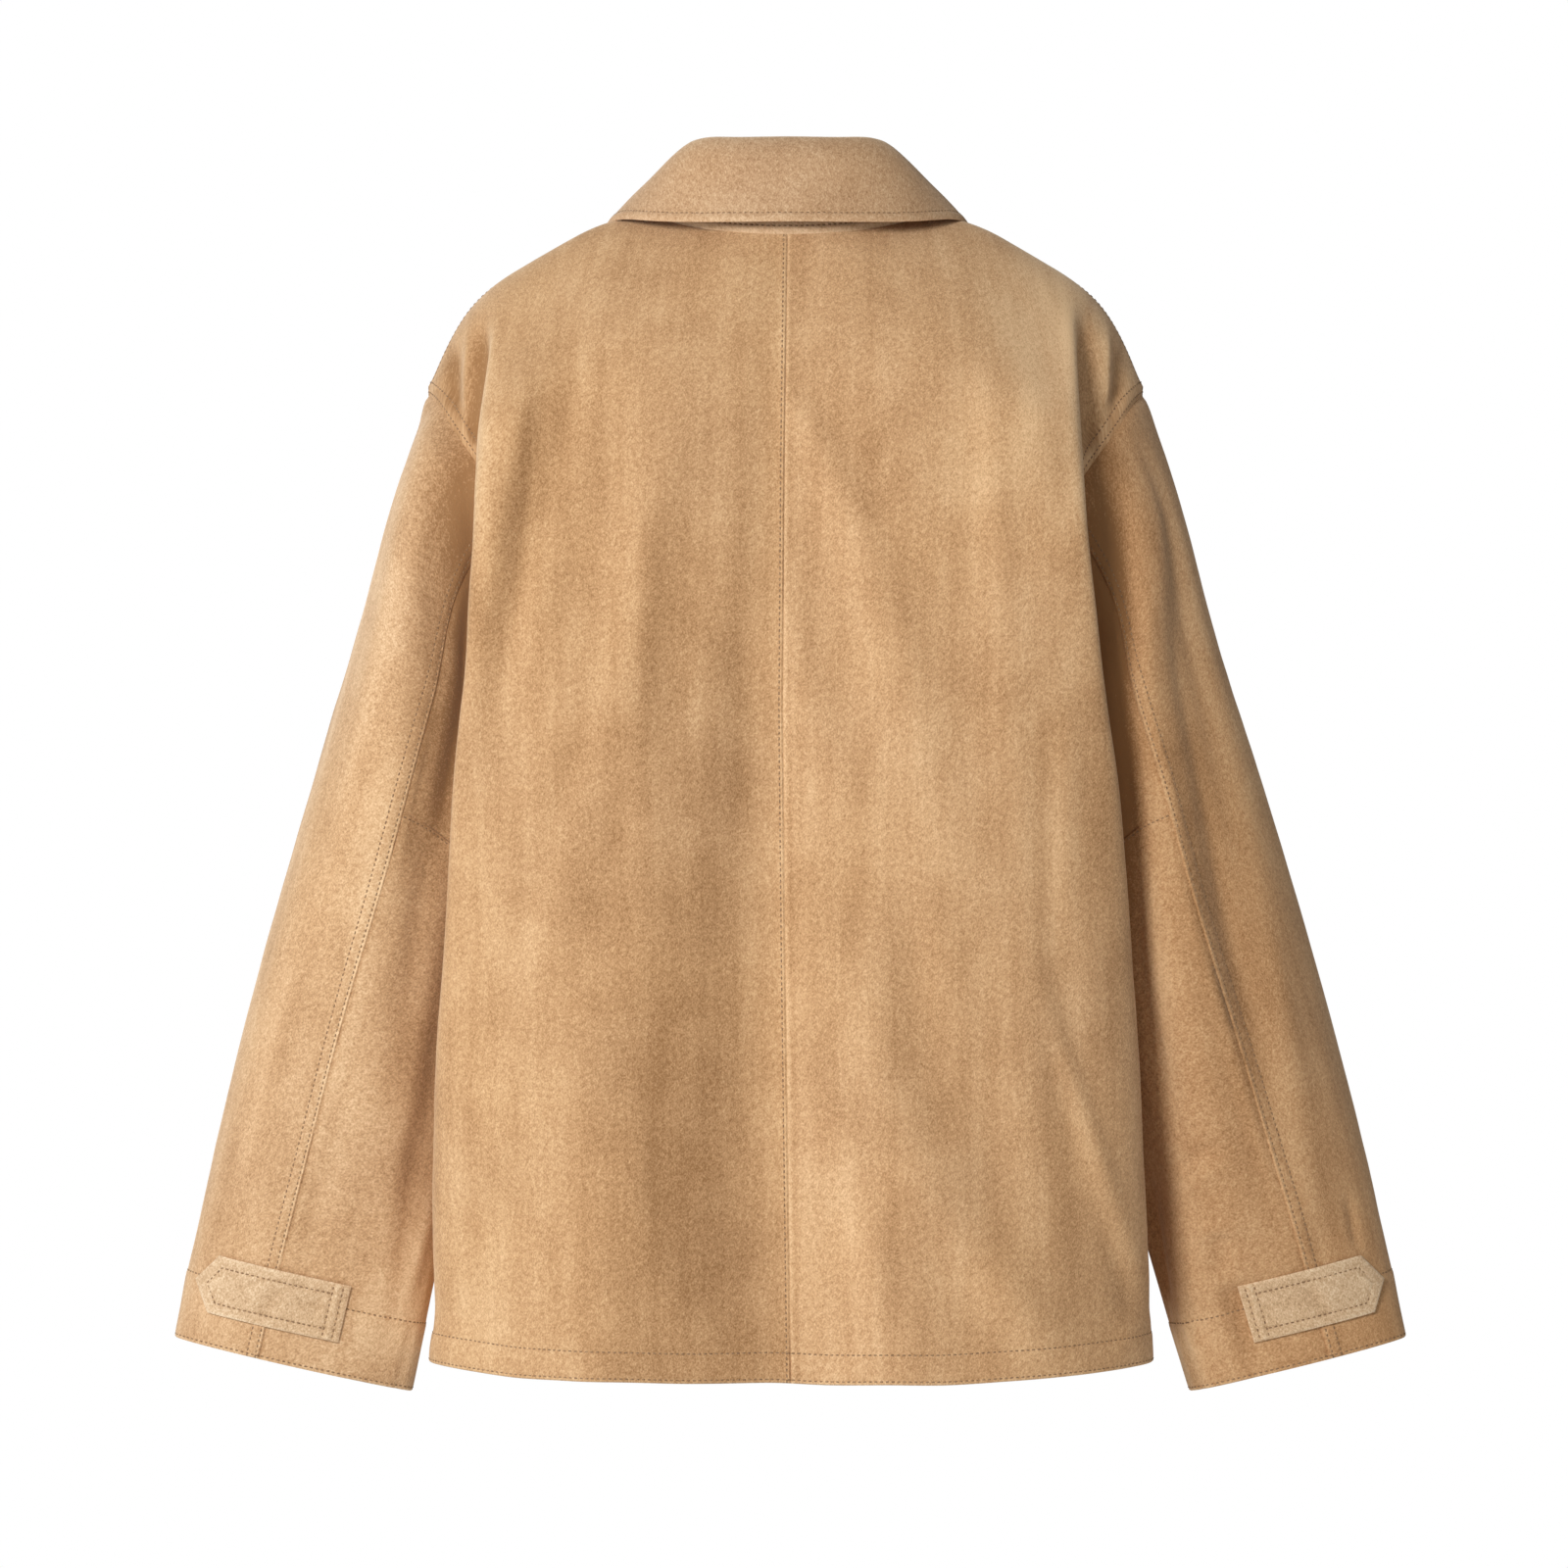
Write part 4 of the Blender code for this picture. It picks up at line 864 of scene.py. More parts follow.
def sew(group, wanted, field, wall, axis, keep=slice(None)):
    """Keep the line where a field that grows along axis reaches a wanted distance."""
    field = np.moveaxis(field, axis, 0)
    after = np.clip((field < wanted).sum(axis=0), 1, len(field) - 1)
    pick = np.arange(field.shape[1])
    low, high = field[after - 1, pick], field[after, pick]
    share = np.clip((wanted - low) / np.maximum(high - low, 1e-6), 0, 1)[:, None]
    line = []
    for grid in (wall[0], unit(wall[0] - wall[1])):
        grid = np.moveaxis(grid, axis, 0)
        line.append((grid[after - 1, pick] * (1 - share) + grid[after, pick] * share)[keep])
    stitch_rows[group].append(line)


# %% [markdown]
# ## The finish of the suede
# Suede is the flesh side of a hide, brushed to a short nap. It hardly
# shines. What the eye reads is the nap: it lies lighter or darker where a
# hand has brushed it, in cloudy patches and long faint streaks, with a fine
# grain all over and paler, rubbed edges. Each of these is a noise at its own
# scale on the cut's own UV map, and they are added, with each point's tone of
# painted light and shade and wear, before one colour ramp turns them into browns.

# %% Suede from several noises
def fill(made, inputs):
    """Set plain values of a node's inputs."""
    for key, value in inputs:
        made.inputs[key].default_value = value


def node(tree, kind, inputs=(), **settings):
    """Add a shader node, with its settings and its plain input values."""
    made = tree.nodes.new("ShaderNode" + kind)
    for key, value in settings.items():
        setattr(made, key, value)
    fill(made, inputs)
    return made


def new_finish(name):
    """A new material, its node tree and its shader."""
    made = bpy.data.materials.new(name)
    made.use_nodes = True
    return made, made.node_tree, made.node_tree.nodes["Principled BSDF"]


def colour_ramp(tree, value, stops):
    """Colours at places from 0 to 1, picked by a value."""
    ramp = node(tree, "ValToRGB")
    elements = ramp.color_ramp.elements
    while len(elements) < len(stops):
        elements.new(0.5)
    for element, (spot, colour) in zip(elements, stops):
        element.position = spot
        element.color = tuple(float(part) for part in colour) + (1.0,)
    tree.links.new(value, ramp.inputs["Fac"])
    return ramp.outputs["Color"]


def cloud(tree, place, stretch, detail, rough=0.55, turn=0.0, distort=0.0):
    """Noise on the cut, with its own scale across and along, per metre."""
    mapping = node(tree, "Mapping", (("Scale", stretch), ("Rotation", (0.0, 0.0, turn))))
    tree.links.new(place.outputs["Vector"], mapping.inputs["Vector"])
    noise = node(tree, "TexNoise", (("Scale", 1.0), ("Detail", detail), ("Roughness", rough),
                                    ("Distortion", distort)))
    tree.links.new(mapping.outputs["Vector"], noise.inputs["Vector"])
    return noise.outputs["Fac"]


def add_weighted(tree, parts, start):
    """start + sum of (part − 0.5) × weight, as a chain of multiply-add nodes."""
    total = None
    for part, weight in parts:
        step = node(tree, "Math", ((1, weight),), operation="MULTIPLY_ADD")
        tree.links.new(part, step.inputs[0])
        if total is None:
            step.inputs[2].default_value = start - sum(w for _, w in parts) / 2
        else:
            tree.links.new(total, step.inputs[2])
        total = step.outputs[0]
    return total


def suede(name, shade, shift, streaks=0.50):
    """Brushed suede; shade multiplies its browns by channel, shift slides the patches."""
    made, tree, shader = new_finish(name)
    uv = node(tree, "UVMap", uv_map="cut")
    place = node(tree, "Mapping", (("Location", (shift, shift * 0.7, 0.0)),))
    tree.links.new(uv.outputs["UV"], place.inputs["Vector"])
    mottle = cloud(tree, place, (12, 10, 1), 5.0, 0.6, 0.3, 0.6)
    patch = cloud(tree, place, (30, 22, 1), 4.0, 0.6, -0.5, 0.4)
    streak = cloud(tree, place, (95, 6, 1), 3.0, 0.55, 0.06)
    nap = cloud(tree, place, (400, 290, 1), 3.0, 0.7, 0.4)
    grain = cloud(tree, place, (1050, 760, 1), 2.0, 0.6, 0.9)
    blotch = cloud(tree, place, (6, 5, 1), 2.0, 0.5, 0.8)
    value = add_weighted(tree, ((mottle, 0.62), (patch, 0.52), (streak, streaks),
                                (nap, 1.15), (grain, 1.35)), 0.5)
    lit = node(tree, "Math", ((1, 1.0),), operation="MULTIPLY_ADD")
    tone = node(tree, "Attribute", attribute_name="tone")
    tree.links.new(tone.outputs["Fac"], lit.inputs[0])
    tree.links.new(value, lit.inputs[2])
    browns = colour_ramp(tree, lit.outputs[0], [
        (spot, np.array(colour) * shade)
        for spot, colour in ((0.0, DARK_NAP), (0.5, NAP), (1.0, LIGHT_NAP))])
    warm = node(tree, "Mix", data_type="RGBA", blend_type="MULTIPLY")
    warm.inputs["B"].default_value = WARM_BLOTCH
    tree.links.new(blotch, warm.inputs["Factor"])
    tree.links.new(browns, warm.inputs["A"])
    tree.links.new(warm.outputs["Result"], shader.inputs["Base Color"])
    relief = add_weighted(tree, ((nap, 0.9), (grain, 0.7), (patch, 0.8)), 0.5)
    bump = node(tree, "Bump", (("Strength", 0.5), ("Distance", 0.0005)))
    tree.links.new(relief, bump.inputs["Height"])
    tree.links.new(bump.outputs["Normal"], shader.inputs["Normal"])
    fill(shader, (("Roughness", 0.93), ("Specular IOR Level", 0.15), ("Sheen Weight", 0.35),
                  ("Sheen Roughness", 0.45), ("Sheen Tint", (1.0, 0.86, 0.66, 1.0))))
    return made


def speckled(name, noise, stops, surface):
    """A finish of two browns that follow one noise through the object."""
    made, tree, shader = new_finish(name)
    place = node(tree, "TexCoord")
    specks = node(tree, "TexNoise", noise)
    tree.links.new(place.outputs["Object"], specks.inputs["Vector"])
    tree.links.new(colour_ramp(tree, specks.outputs["Fac"], stops), shader.inputs["Base Color"])
    fill(shader, surface)
    return made


DARK_NAP = (0.34, 0.180, 0.080)
NAP = (0.58, 0.348, 0.186)
LIGHT_NAP = (0.80, 0.56, 0.34)
WARM_BLOTCH = (1.02, 0.97, 0.85, 1.0)
# The backs and sleeves are lit and shaded copies of one suede: the sleeve on the light's side
# painted lighter and paler, the one in shadow painted darker and warmer, and the left back painted
# a little darker than the right to balance the light across them
BODY_SUEDE = {
    ("back", 1): suede("back_left_hide", (0.96, 0.95, 0.92), 0.0),
    ("back", -1): suede("back_right_hide", (1.01, 1.0, 0.98), 1.4),
    ("front", 1): suede("front_left_hide", 1.0, 3.1),
    ("front", -1): suede("front_right_hide", 1.0, 4.3),
}
SLEEVE_SUEDE = {
    1: suede("sleeve_left_hide", (1.03, 1.06, 1.10), 5.7),
    -1: suede("sleeve_right_hide", (0.93, 0.88, 0.82), 7.6),
}
collar_suede = suede("collar_hide", (0.92, 0.95, 1.02), 9.2, 0.0)
tab_suede = suede("tab_hide", (1.12, 1.28, 1.48), 12.6, 0.0)

thread = speckled("waxed_thread", (("Scale", 900.0), ("Detail", 2.0)),
                  ((0.35, (0.20, 0.108, 0.048)), (0.68, (0.39, 0.235, 0.115))),
                  (("Roughness", 0.7),))
horn = speckled("horn", (("Scale", 120.0), ("Detail", 6.0), ("Distortion", 1.2)),
                ((0.36, (0.055, 0.028, 0.014)), (0.66, (0.26, 0.15, 0.075))),
                (("Roughness", 0.34), ("Coat Weight", 0.2)))
print("finishes:", sorted(each.name for each in bpy.data.materials))

# %% [markdown]
# ## Backs and fronts
# The two backs meet in a centre seam that is topstitched on one side. The
# armhole is pressed towards the body and held by two rows, which raise a
# firm band with small puckers between the stitches. The hem is turned up
# and held by one row, with another close to its edge. Each of these shows
# as a low step in the cloth's outer face.

# %% Make the four body halves
BACK_STEP = 3.0
FRONT_STEP = 3.8
# Distances of the stitch rows from their edges
EDGE_ROW = 2.1
HEM_ROW = 18.0
ARMHOLE_ROWS = (2.5, 8.5)
CENTRE_BACK_ROW = 2.4
FRONT_EDGE_ROWS = (2.2, 34.0)
SHOULDER_ROW = 3.0
# Painted light and shade: the tone follows the relief's slope towards the light, up to a limit
SLOPE_SHADE = 0.22
SLOPE_SHADE_LIMIT = 0.16
# Patches of painted shade and light, in part the nap's own uneven tone, in x and z as it hangs:
# middle, half width, half height and tone, which is below zero where it is darker
BODY_PAINTED_SHADES = (
    (82.0, -240.0, 46.0, 120.0, -0.16),
    (84.0, -430.0, 42.0, 110.0, -0.14),
    (70.0, -600.0, 50.0, 110.0, -0.22),
    (-34.0, -165.0, 30.0, 80.0, -0.13),
    (-14.0, -470.0, 40.0, 90.0, -0.07),
    (-168.0, -62.0, 44.0, 70.0, 0.36),
    (-150.0, -190.0, 26.0, 70.0, 0.14),
    (190.0, -665.0, 26.0, 45.0, 0.22),
    (-192.0, -345.0, 12.0, 60.0, -0.22),
    (-198.0, -470.0, 12.0, 60.0, -0.20),
)


def reference_arc(points):
    """Mean arc length of several lines of points, one line per column."""
    return arc_lengths(points, 0).mean(axis=1)


def groove(distance, row, depth, half_width=0.7):
    """Depth that a stitch row pulls the cloth in."""
    return depth * bell(distance - row, half_width)


def ledge(distance, end, height, softness):
    """Low step where the cloth is doubled, from an edge to a distance from it."""
    return height * smooth_step((end - distance) / softness)


def hem_band(from_edge, depth, along, seed):
    """Turned-up hem: a low step at its depth, a groove under each row, and puckers."""
    puckers = rumple(along, from_edge, 7.5, 40.0, seed) * bell(from_edge - depth, depth * 0.6)
    grooves = groove(from_edge, depth, 0.4, 0.8) + groove(from_edge, EDGE_ROW, 0.3)
    return ledge(from_edge, depth + 1.6, 0.5, 2.2) - grooves + 0.45 * puckers


def slope_light_tone(rise, sideways):
    """Painted light and shade from the slope of the relief: lighter where it falls towards the
    wearer's left and the light, held within bounds.
    """
    run = np.gradient(sideways, axis=1)
    run = np.where(run < 0, np.minimum(run, -0.4), np.maximum(run, 0.4))
    fall = -np.gradient(rise, axis=1) / run
    return np.clip(SLOPE_SHADE * fall, -SLOPE_SHADE_LIMIT, SLOPE_SHADE_LIMIT)


def painted_patches(across, height, marks):
    """Tone of the patches of painted shade and light."""
    tone = 0.0
    for spot, level, wide, high, strength in marks:
        gap = np.hypot((across - spot) / wide, (height - level) / high)
        tone = tone + strength * bell(gap, 1.0)
    return tone


def body_lines(side):
    """Places of a half's columns and levels of its rows."""
    back = side == "back"
    step = BACK_STEP if back else FRONT_STEP
    start = 0.0
    if not back:
        # the front runs past the centre line by the overlap
        first = NECK_SHARE / 7
        reach = body_grid("front", np.array((first,)), np.array((-0.5,)))[0, 0, 0]
        start = -FRONT_OVERLAP * first / reach
    places = np.linspace(start, 1.0, 600)
    mixed = body_grid(side, places, np.array((-1.3, -0.7, -0.2, 0.15, 0.6))).swapaxes(0, 1)
    beside_armhole = arc_lengths(body_grid(side, places, np.array((0.5,)))[0], 0)
    near, far = ARMHOLE_ROWS
    sewn = ((CENTRE_BACK_ROW,) if back else FRONT_EDGE_ROWS) + (-near, -far)
    across = lines_on(places, reference_arc(mixed), step, sewn, beside_armhole)
    heights = np.linspace(-1.63, 1.0, 600)
    upright = body_grid(side, np.array((0.1, 0.45, 0.8)), heights)
    level = lines_on(heights, reference_arc(upright), step, (EDGE_ROW, HEM_ROW, -SHOULDER_ROW))
    return across, level


def body_directions(side, hand, across, level, to_side, to_top):
    """Wall directions: normals that meet the next piece's at the seams of all four edges."""
    other = "front" if side == "back" else "back"
    end = np.ones(1)
    normals = body_facing(side, across, level)
    own_edge = body_facing(side, end, level)[:, 0]
    other_edge = body_facing(other, end, level)[:, 0]
    turn = (1.0 - np.clip(level, 0.0, 1.0)) * (1.0 if side == "back" else -1.0)
    sleeve_edge = sleeve_facing(turn, np.zeros((1, len(turn))), hand)[0]
    hanging = (level <= 1e-6)[:, None]
    edge = np.where(hanging, mitred(own_edge, other_edge), valley(own_edge, sleeve_edge))
    normals = toward(normals, edge[:, None], near_edge(to_side))
    own_top = body_facing(side, across, end)[0]
    other_top = body_facing(other, np.abs(across), end)[0]
    foot = neck_share(side, across)
    stand_foot = stand_facing(foot, np.zeros(1))[0]
    top = np.where((np.abs(across) > NECK_SHARE + 1e-6)[:, None], mitred(own_top, other_top),
                   mitred(neck_facing(foot), stand_foot))
    return toward(normals, top, near_edge(to_top))


def body_half(side, word, hand):
    """One back or front: its surface, relief, wall, mesh and stitch rows."""
    back = side == "back"
    across, level = body_lines(side)
    base = body_grid(side, across, level)
    from_centre, to_side, from_hem, to_top = distances(base)
    normals = body_directions(side, hand, across, level, to_side, to_top)
    base, normals = base * (hand, 1, 1), normals * (hand, 1, 1)
    hang, along = base[..., (0, 2)], hand * from_centre
    beside_armhole = (level > 0)[:, None]

    # soft folds, creases and rumple move both faces
    folds, creases = (BACK_FOLDS, BACK_CREASES) if back else (FRONT_FOLDS, FRONT_CREASES)
    seed = 11 if back else 31
    rise = crease_height(hang, folds) * smooth_step((1.0 - np.abs(across)) / 0.15)
    rise = rise * smooth_step((1.0 - level) / 0.2)[:, None]
    fine = crease_height(hang, creases)
    held = smooth_step(to_side / 26.0) * smooth_step(to_top / 22.0)
    if not back:
        rise = rise * (smooth_step(np.abs(across) / 0.22) * (across > 0))
        held = held * smooth_step((from_centre - 8.0) / 40.0)
    rise = rise + (fine + soft_rumple(along, from_hem, seed)) * held
    if back:
        close = smooth_step((to_side - 2.0) / 12.0) * smooth_step((to_top - 2.0) / 14.0)
        crest = crease_height(hang, CREST_CREASES) * close
        rise = rise + crest
    puckers = rumple(from_hem, to_side, 8.0, 60.0, seed + 5)
    pull = 0.8 * puckers * bell(to_side - 6.0, 8.0) * smooth_step(to_side / 3.0)
    rise = rise - 0.45 * bell(to_side, 4.0) + pull * beside_armhole
    base = base + normals * rise[..., None]
    near_hem = smooth_step((70.0 - from_hem) / 70.0)
    wave = rumple(hang[:1, :, 0] + 400.0, 0.0, 38.0, 1.0, 21) * near_hem
    base = base + 1.1 * wave[..., None] * (0, 0, 1)
    if side == "front" and hand < 0:
        under = 1 - smooth_step((across - 0.04) / 0.2)
        base = base + under[:, None] * UNDER_FRONT_SHIFT

    # low steps and grooves of the sewing raise the outer face alone
    lift = hem_band(from_hem, HEM_ROW, along, seed + 7)
    armhole = ledge(to_side, 10.5, 0.55, 2.4) - groove(to_side, ARMHOLE_ROWS[1], 0.4, 0.8)
    armhole = (armhole - groove(to_side, ARMHOLE_ROWS[0], 0.3)) * beside_armhole
    lift = lift + armhole * smooth_step(from_hem / 30.0)
    if back:
        if hand > 0:
            lift = lift + ledge(from_centre, 4.0, 0.55, 1.6)
            lift = lift - groove(from_centre, CENTRE_BACK_ROW, 0.25)
        shoulder = ledge(to_top, 4.6, 0.4, 1.6) - groove(to_top, SHOULDER_ROW, 0.35)
        lift = lift + (np.abs(across) > NECK_SHARE) * shoulder
    else:
        lift = lift - groove(from_centre, FRONT_EDGE_ROWS[0], 0.35)
        lift = lift - groove(from_centre, FRONT_EDGE_ROWS[1], 0.35, 0.8)
        lift = lift + ledge(from_centre, 36.0, 0.4, 2.0)
    overlap_seams(base, "last_column", "last_row", *(("first_column",) if back else ()))
    ends = nearest(from_centre, to_side, from_hem, to_top)
    outer, inner = wall = cloth_wall(base, normals, SUEDE, lift, ends)

    # tone: painted light and shade, lighter on the flanks that fall to the wearer's left, towards
    # the light, darker on those turned away and in the creases' troughs, with the listed patches
    # of painted shade and light
    tone = slope_light_tone(rise, hang[..., 0]) + 0.02 * np.clip(fine, -4.0, 4.0)
    tone = tone + painted_patches(hang[..., 0], hang[..., 1], BODY_PAINTED_SHADES)
    # along the armhole the tone follows the puckers: painted light on their tops and painted shade
    # in their dips; the hem's rubbed edge is lighter
    band = ledge(to_side, 10.5, 1.0, 2.4) * beside_armhole
    tone = tone + 0.16 * bell(from_hem, 1.8) + band * (0.10 * puckers - 0.03)
    tone = tone - 0.12 * bell(to_side, 1.2)
    if back:
        # painted shade in the troughs beside the crests and painted light on their ridges; the
        # seam ridges at the centre back and neck are made lighter
        tone = tone + 0.09 * np.clip(crest, -5.0, 3.0) + 0.30 * bell(from_centre, 1.5)
        tone = tone - 0.10 * bell(from_centre - 3.6, 1.0) * (hand < 0)
        tone = tone + 0.30 * bell(to_top, 1.6) * (np.abs(across) <= NECK_SHARE)
    cut = np.stack((along, from_hem), axis=-1)
    name = side + "_" + word
    put_wall(name + "_suede", outer, inner, cut, tone, BODY_SUEDE[side, hand], name)

    for row in (EDGE_ROW, HEM_ROW):
        sew("body", row, from_hem, wall, 0)
    for row in ARMHOLE_ROWS:
        sew("body", -row, -to_side, wall, 1, level > 0.02)
    if back:
        sew("body", -SHOULDER_ROW, -to_top, wall, 0, np.abs(across) > NECK_SHARE + 0.02)
        if hand > 0:
            sew("body", CENTRE_BACK_ROW, from_centre, wall, 1)
    else:
        for row in FRONT_EDGE_ROWS:
            sew("body", row, from_centre, wall, 1)


for body_side in ("back", "front"):
    for body_word, body_hand in (("left", 1), ("right", -1)):
        body_half(body_side, body_word, body_hand)

# %% [markdown]
# ## Sleeves
# Each sleeve has a wide top piece and a narrow under piece that is cut
# again at the elbow. The long back seam is pressed towards the top piece
# and sewn down with two rows, and the cuff is turned up as the hem is.

# %% Make the three pieces of each sleeve
SLEEVE_STEP = 3.2
CUFF_DEPTH = 42.0
CUFF_EDGE_ROW = 2.2
BACK_SEAM_ROWS = (2.4, 7.8)
ELBOW_ROW = 2.4
TUCK_TURN = 0.86
# The free edge of the cuff hangs lower round its inner back
CUFF_DROP = 2.4
CUFF_DROP_TURN = -0.62
CUFF_DROP_WAY = unit(np.array((0.26, -0.1, -0.96)))
# Patches of painted shade and light, in part the nap's own uneven tone, with the same columns as
# on the body
SLEEVE_PAINTED_SHADES = {
    1: (
        (218.0, -165.0, 30.0, 75.0, -0.24),
        (192.0, -178.0, 18.0, 52.0, -0.42),
        (222.0, -295.0, 26.0, 60.0, -0.12),
        (224.0, -535.0, 15.0, 50.0, -0.18),
        (197.0, -545.0, 18.0, 60.0, 0.13),
        (203.0, -668.0, 34.0, 40.0, 0.28),
        (252.0, -682.0, 30.0, 30.0, 0.16),
    ),
    -1: (
        (-188.0, -170.0, 15.0, 60.0, -0.40),
        (-194.0, -275.0, 11.0, 75.0, -0.52),
        (-203.0, -370.0, 10.0, 60.0, -0.30),
        (-249.0, -460.0, 17.0, 100.0, -0.18),
        (-283.0, -510.0, 22.0, 75.0, -0.22),
        (-220.0, -440.0, 15.0, 110.0, 0.13),
        (-252.0, -668.0, 20.0, 30.0, 0.14),
    ),
}


def on_sleeve(rows):
    """Creases with their places in millimetres, round the sleeve and along it."""
    scale = np.tile((math.pi * SLEEVE_RADIUS, SLEEVE_LENGTH), 3)
    return [tuple(np.array(row[:6]) * scale) + tuple(row[6:]) for row in rows]


def sleeve_lines(hand, turns, start_share, end_share, top, at_elbow, at_cuff):
    """Turns of a piece's columns and shares of the length of its rows."""
    places = np.linspace(*turns, 400)
    shares = np.repeat(np.array(((0.12,), (0.4,), (0.8,))), 400, axis=1)
    rings = sleeve_grid(places, shares, hand).swapaxes(0, 1)
    columns_sewn = tuple(-row for row in BACK_SEAM_ROWS) if top else ()
    turn = lines_on(places, reference_arc(rings), SLEEVE_STEP, columns_sewn)
    begin, reach = start_share(turn), end_share(turn) - start_share(turn)
    steps = np.linspace(0.0, 1.0, 400)
    middle = np.array((len(turn) // 2,))
    line = sleeve_grid(turn[middle], begin[middle] + reach[middle] * steps[:, None], hand)
    rows_sewn = (-CUFF_EDGE_ROW, -CUFF_DEPTH) if at_cuff else ()
    rows_sewn += (ELBOW_ROW,) if at_elbow else ()
    step = lines_on(steps, arc_lengths(line[:, 0], 0), SLEEVE_STEP, rows_sewn)
    return turn, begin + reach * step[:, None]


def sleeve_directions(hand, turn, along, top, at_head, to_seam, from_start):
    """Wall directions: normals that meet the next piece's at the underarm and the armhole."""
    normals = sleeve_facing(turn, along, hand)
    seam_turn = np.array((-1.0,)) if top else np.array((1.0,))
    seam_along = along[:, :1] if top else along[:, -1:]
    seam = mitred(sleeve_facing(seam_turn, seam_along, hand),
                  sleeve_facing(-seam_turn, seam_along, hand))
    normals = toward(normals, seam, near_edge(to_seam))
    if not at_head:
        return normals
    own = sleeve_facing(turn, along[:1], hand)[0]
    end, level = np.ones(1), 1.0 - np.abs(turn)
    back = body_facing("back", end, level)[:, 0]
    front = body_facing("front", end, level)[:, 0]
    head = valley(own, np.where((turn >= 0)[:, None], back, front))
    return toward(normals, head, near_edge(from_start))


def sleeve_part(name, hand, turns, start_share, end_share, creases):
    """One piece of a sleeve, between two turns and two shares of its length."""
    top = turns[0] < 0
    at_head, at_cuff = start_share is armhole_share, end_share is cuff_share
    turn, along = sleeve_lines(hand, turns, start_share, end_share, top, not at_head, at_cuff)
    base = sleeve_grid(turn, along, hand)
    from_first, to_last, from_start, to_end = distances(base)
    normals = sleeve_directions(hand, turn, along, top, at_head,
                                from_first if top else to_last, from_start)

    # folds, creases and rumple move both faces, but not under the tab
    round_arm = np.broadcast_to(turn * math.pi * SLEEVE_RADIUS, along.shape)
    from_head, to_cuff = along * SLEEVE_LENGTH, (1.0 - along) * SLEEVE_LENGTH
    flat = np.stack((round_arm, from_head), axis=-1)
    seed = 51 if hand > 0 else 71
    underarm = smooth_step((1.0 - np.abs(turn)) / 0.12)
    rise = crease_height(flat, on_sleeve(SLEEVE_FOLDS[hand])) * smooth_step(along / 0.1) * underarm
    fine = crease_height(flat, on_sleeve(creases))
    under_tab = smooth_step((62.0 - to_cuff) / 10.0) * smooth_step((0.72 - np.abs(turn)) / 0.03)
    under_tab = under_tab * smooth_step((turn - 0.06) / 0.04)
    free = (1 - under_tab) * smooth_step(from_head / 22.0) * underarm
    rise = (rise + fine + soft_rumple(round_arm, from_head, seed)) * free
    puckers = rumple(round_arm, from_head, 9.0, 70.0, seed + 5)
    rise = rise + 0.5 * puckers * bell(from_head - 10.0, 10.0) * smooth_step(from_head / 4.0)
    rise = rise - 0.5 * bell(from_head, 4.0)
    tuck_gap = (turn - TUCK_TURN) * math.pi * SLEEVE_RADIUS * 0.68
    on_cuff = smooth_step((CUFF_DEPTH - to_cuff) / 6.0)
    rise = rise - 1.1 * bell(tuck_gap, 1.5) * on_cuff * (1 - under_tab)
    base = base + normals * rise[..., None]
    from_drop = (turn - CUFF_DROP_TURN + 1.0) % 2.0 - 1.0
    drop = CUFF_DROP * bell(from_drop, 0.36) * smooth_step((80.0 - to_cuff) / 80.0)
    base = base + drop[..., None] * CUFF_DROP_WAY

    # sewing on the outer face
    lift = np.zeros_like(along)
    if at_cuff:
        lift = hem_band(to_cuff, CUFF_DEPTH, round_arm, seed + 7) * (1 - 0.8 * under_tab)
    if top:
        lift = lift + ledge(to_last, 9.6, 0.55, 2.2) - groove(to_last, BACK_SEAM_ROWS[1], 0.4, 0.8)
        lift = lift - groove(to_last, BACK_SEAM_ROWS[0], 0.3)
        seam_puckers = rumple(from_start, to_last, 8.0, 60.0, seed + 9)
        lift = lift + 0.3 * seam_puckers * bell(to_last - 5.0, 6.0)
    elif not at_head:
        lift = lift + ledge(from_start, 4.0, 0.4, 1.6) - groove(from_start, ELBOW_ROW, 0.35)
    overlap_seams(base, "first_column", "last_column", "first_row",
                  *(() if at_cuff else ("last_row",)))
    ends = nearest(from_first, to_last, from_start, to_end)
    base, normals = base * (hand, 1, 1), normals * (hand, 1, 1)
    outer, inner = wall = cloth_wall(base, normals, SUEDE, lift, ends)

    # tone: painted light and shade on the relief's slopes and in patches, and painted shadow on
    # the side that faces the body; the cuff's rubbed edge is lighter and the seams darker
    tone = slope_light_tone(rise, base[..., 0]) + 0.02 * np.clip(fine * free, -4.0, 4.0)
    hung = swayed(outer)
    tone = tone + painted_patches(hung[..., 0], hung[..., 2], SLEEVE_PAINTED_SHADES[hand])
    tone = tone + 0.16 * bell(to_cuff, 1.8)
    tone = tone - 0.12 * bell(from_first, 0.9) - 0.12 * bell(to_last, 0.9)
    if top:
        tone = tone + 0.22 * bell(to_last - 1.2, 1.6)
    # painted shadow of the body on the sleeve's inner side, fading before the cuff
    body_shadow_paint = smooth_step((turn - 0.30 - 0.45 * along) / 0.25)
    body_shadow_paint = body_shadow_paint * smooth_step((0.85 - along) / 0.35)
    tone = tone - 0.34 * body_shadow_paint
    cut = np.stack((round_arm * hand * 0.8, from_head), axis=-1)
    put_wall(name + "_suede", outer, inner, cut, tone, SLEEVE_SUEDE[hand], name)

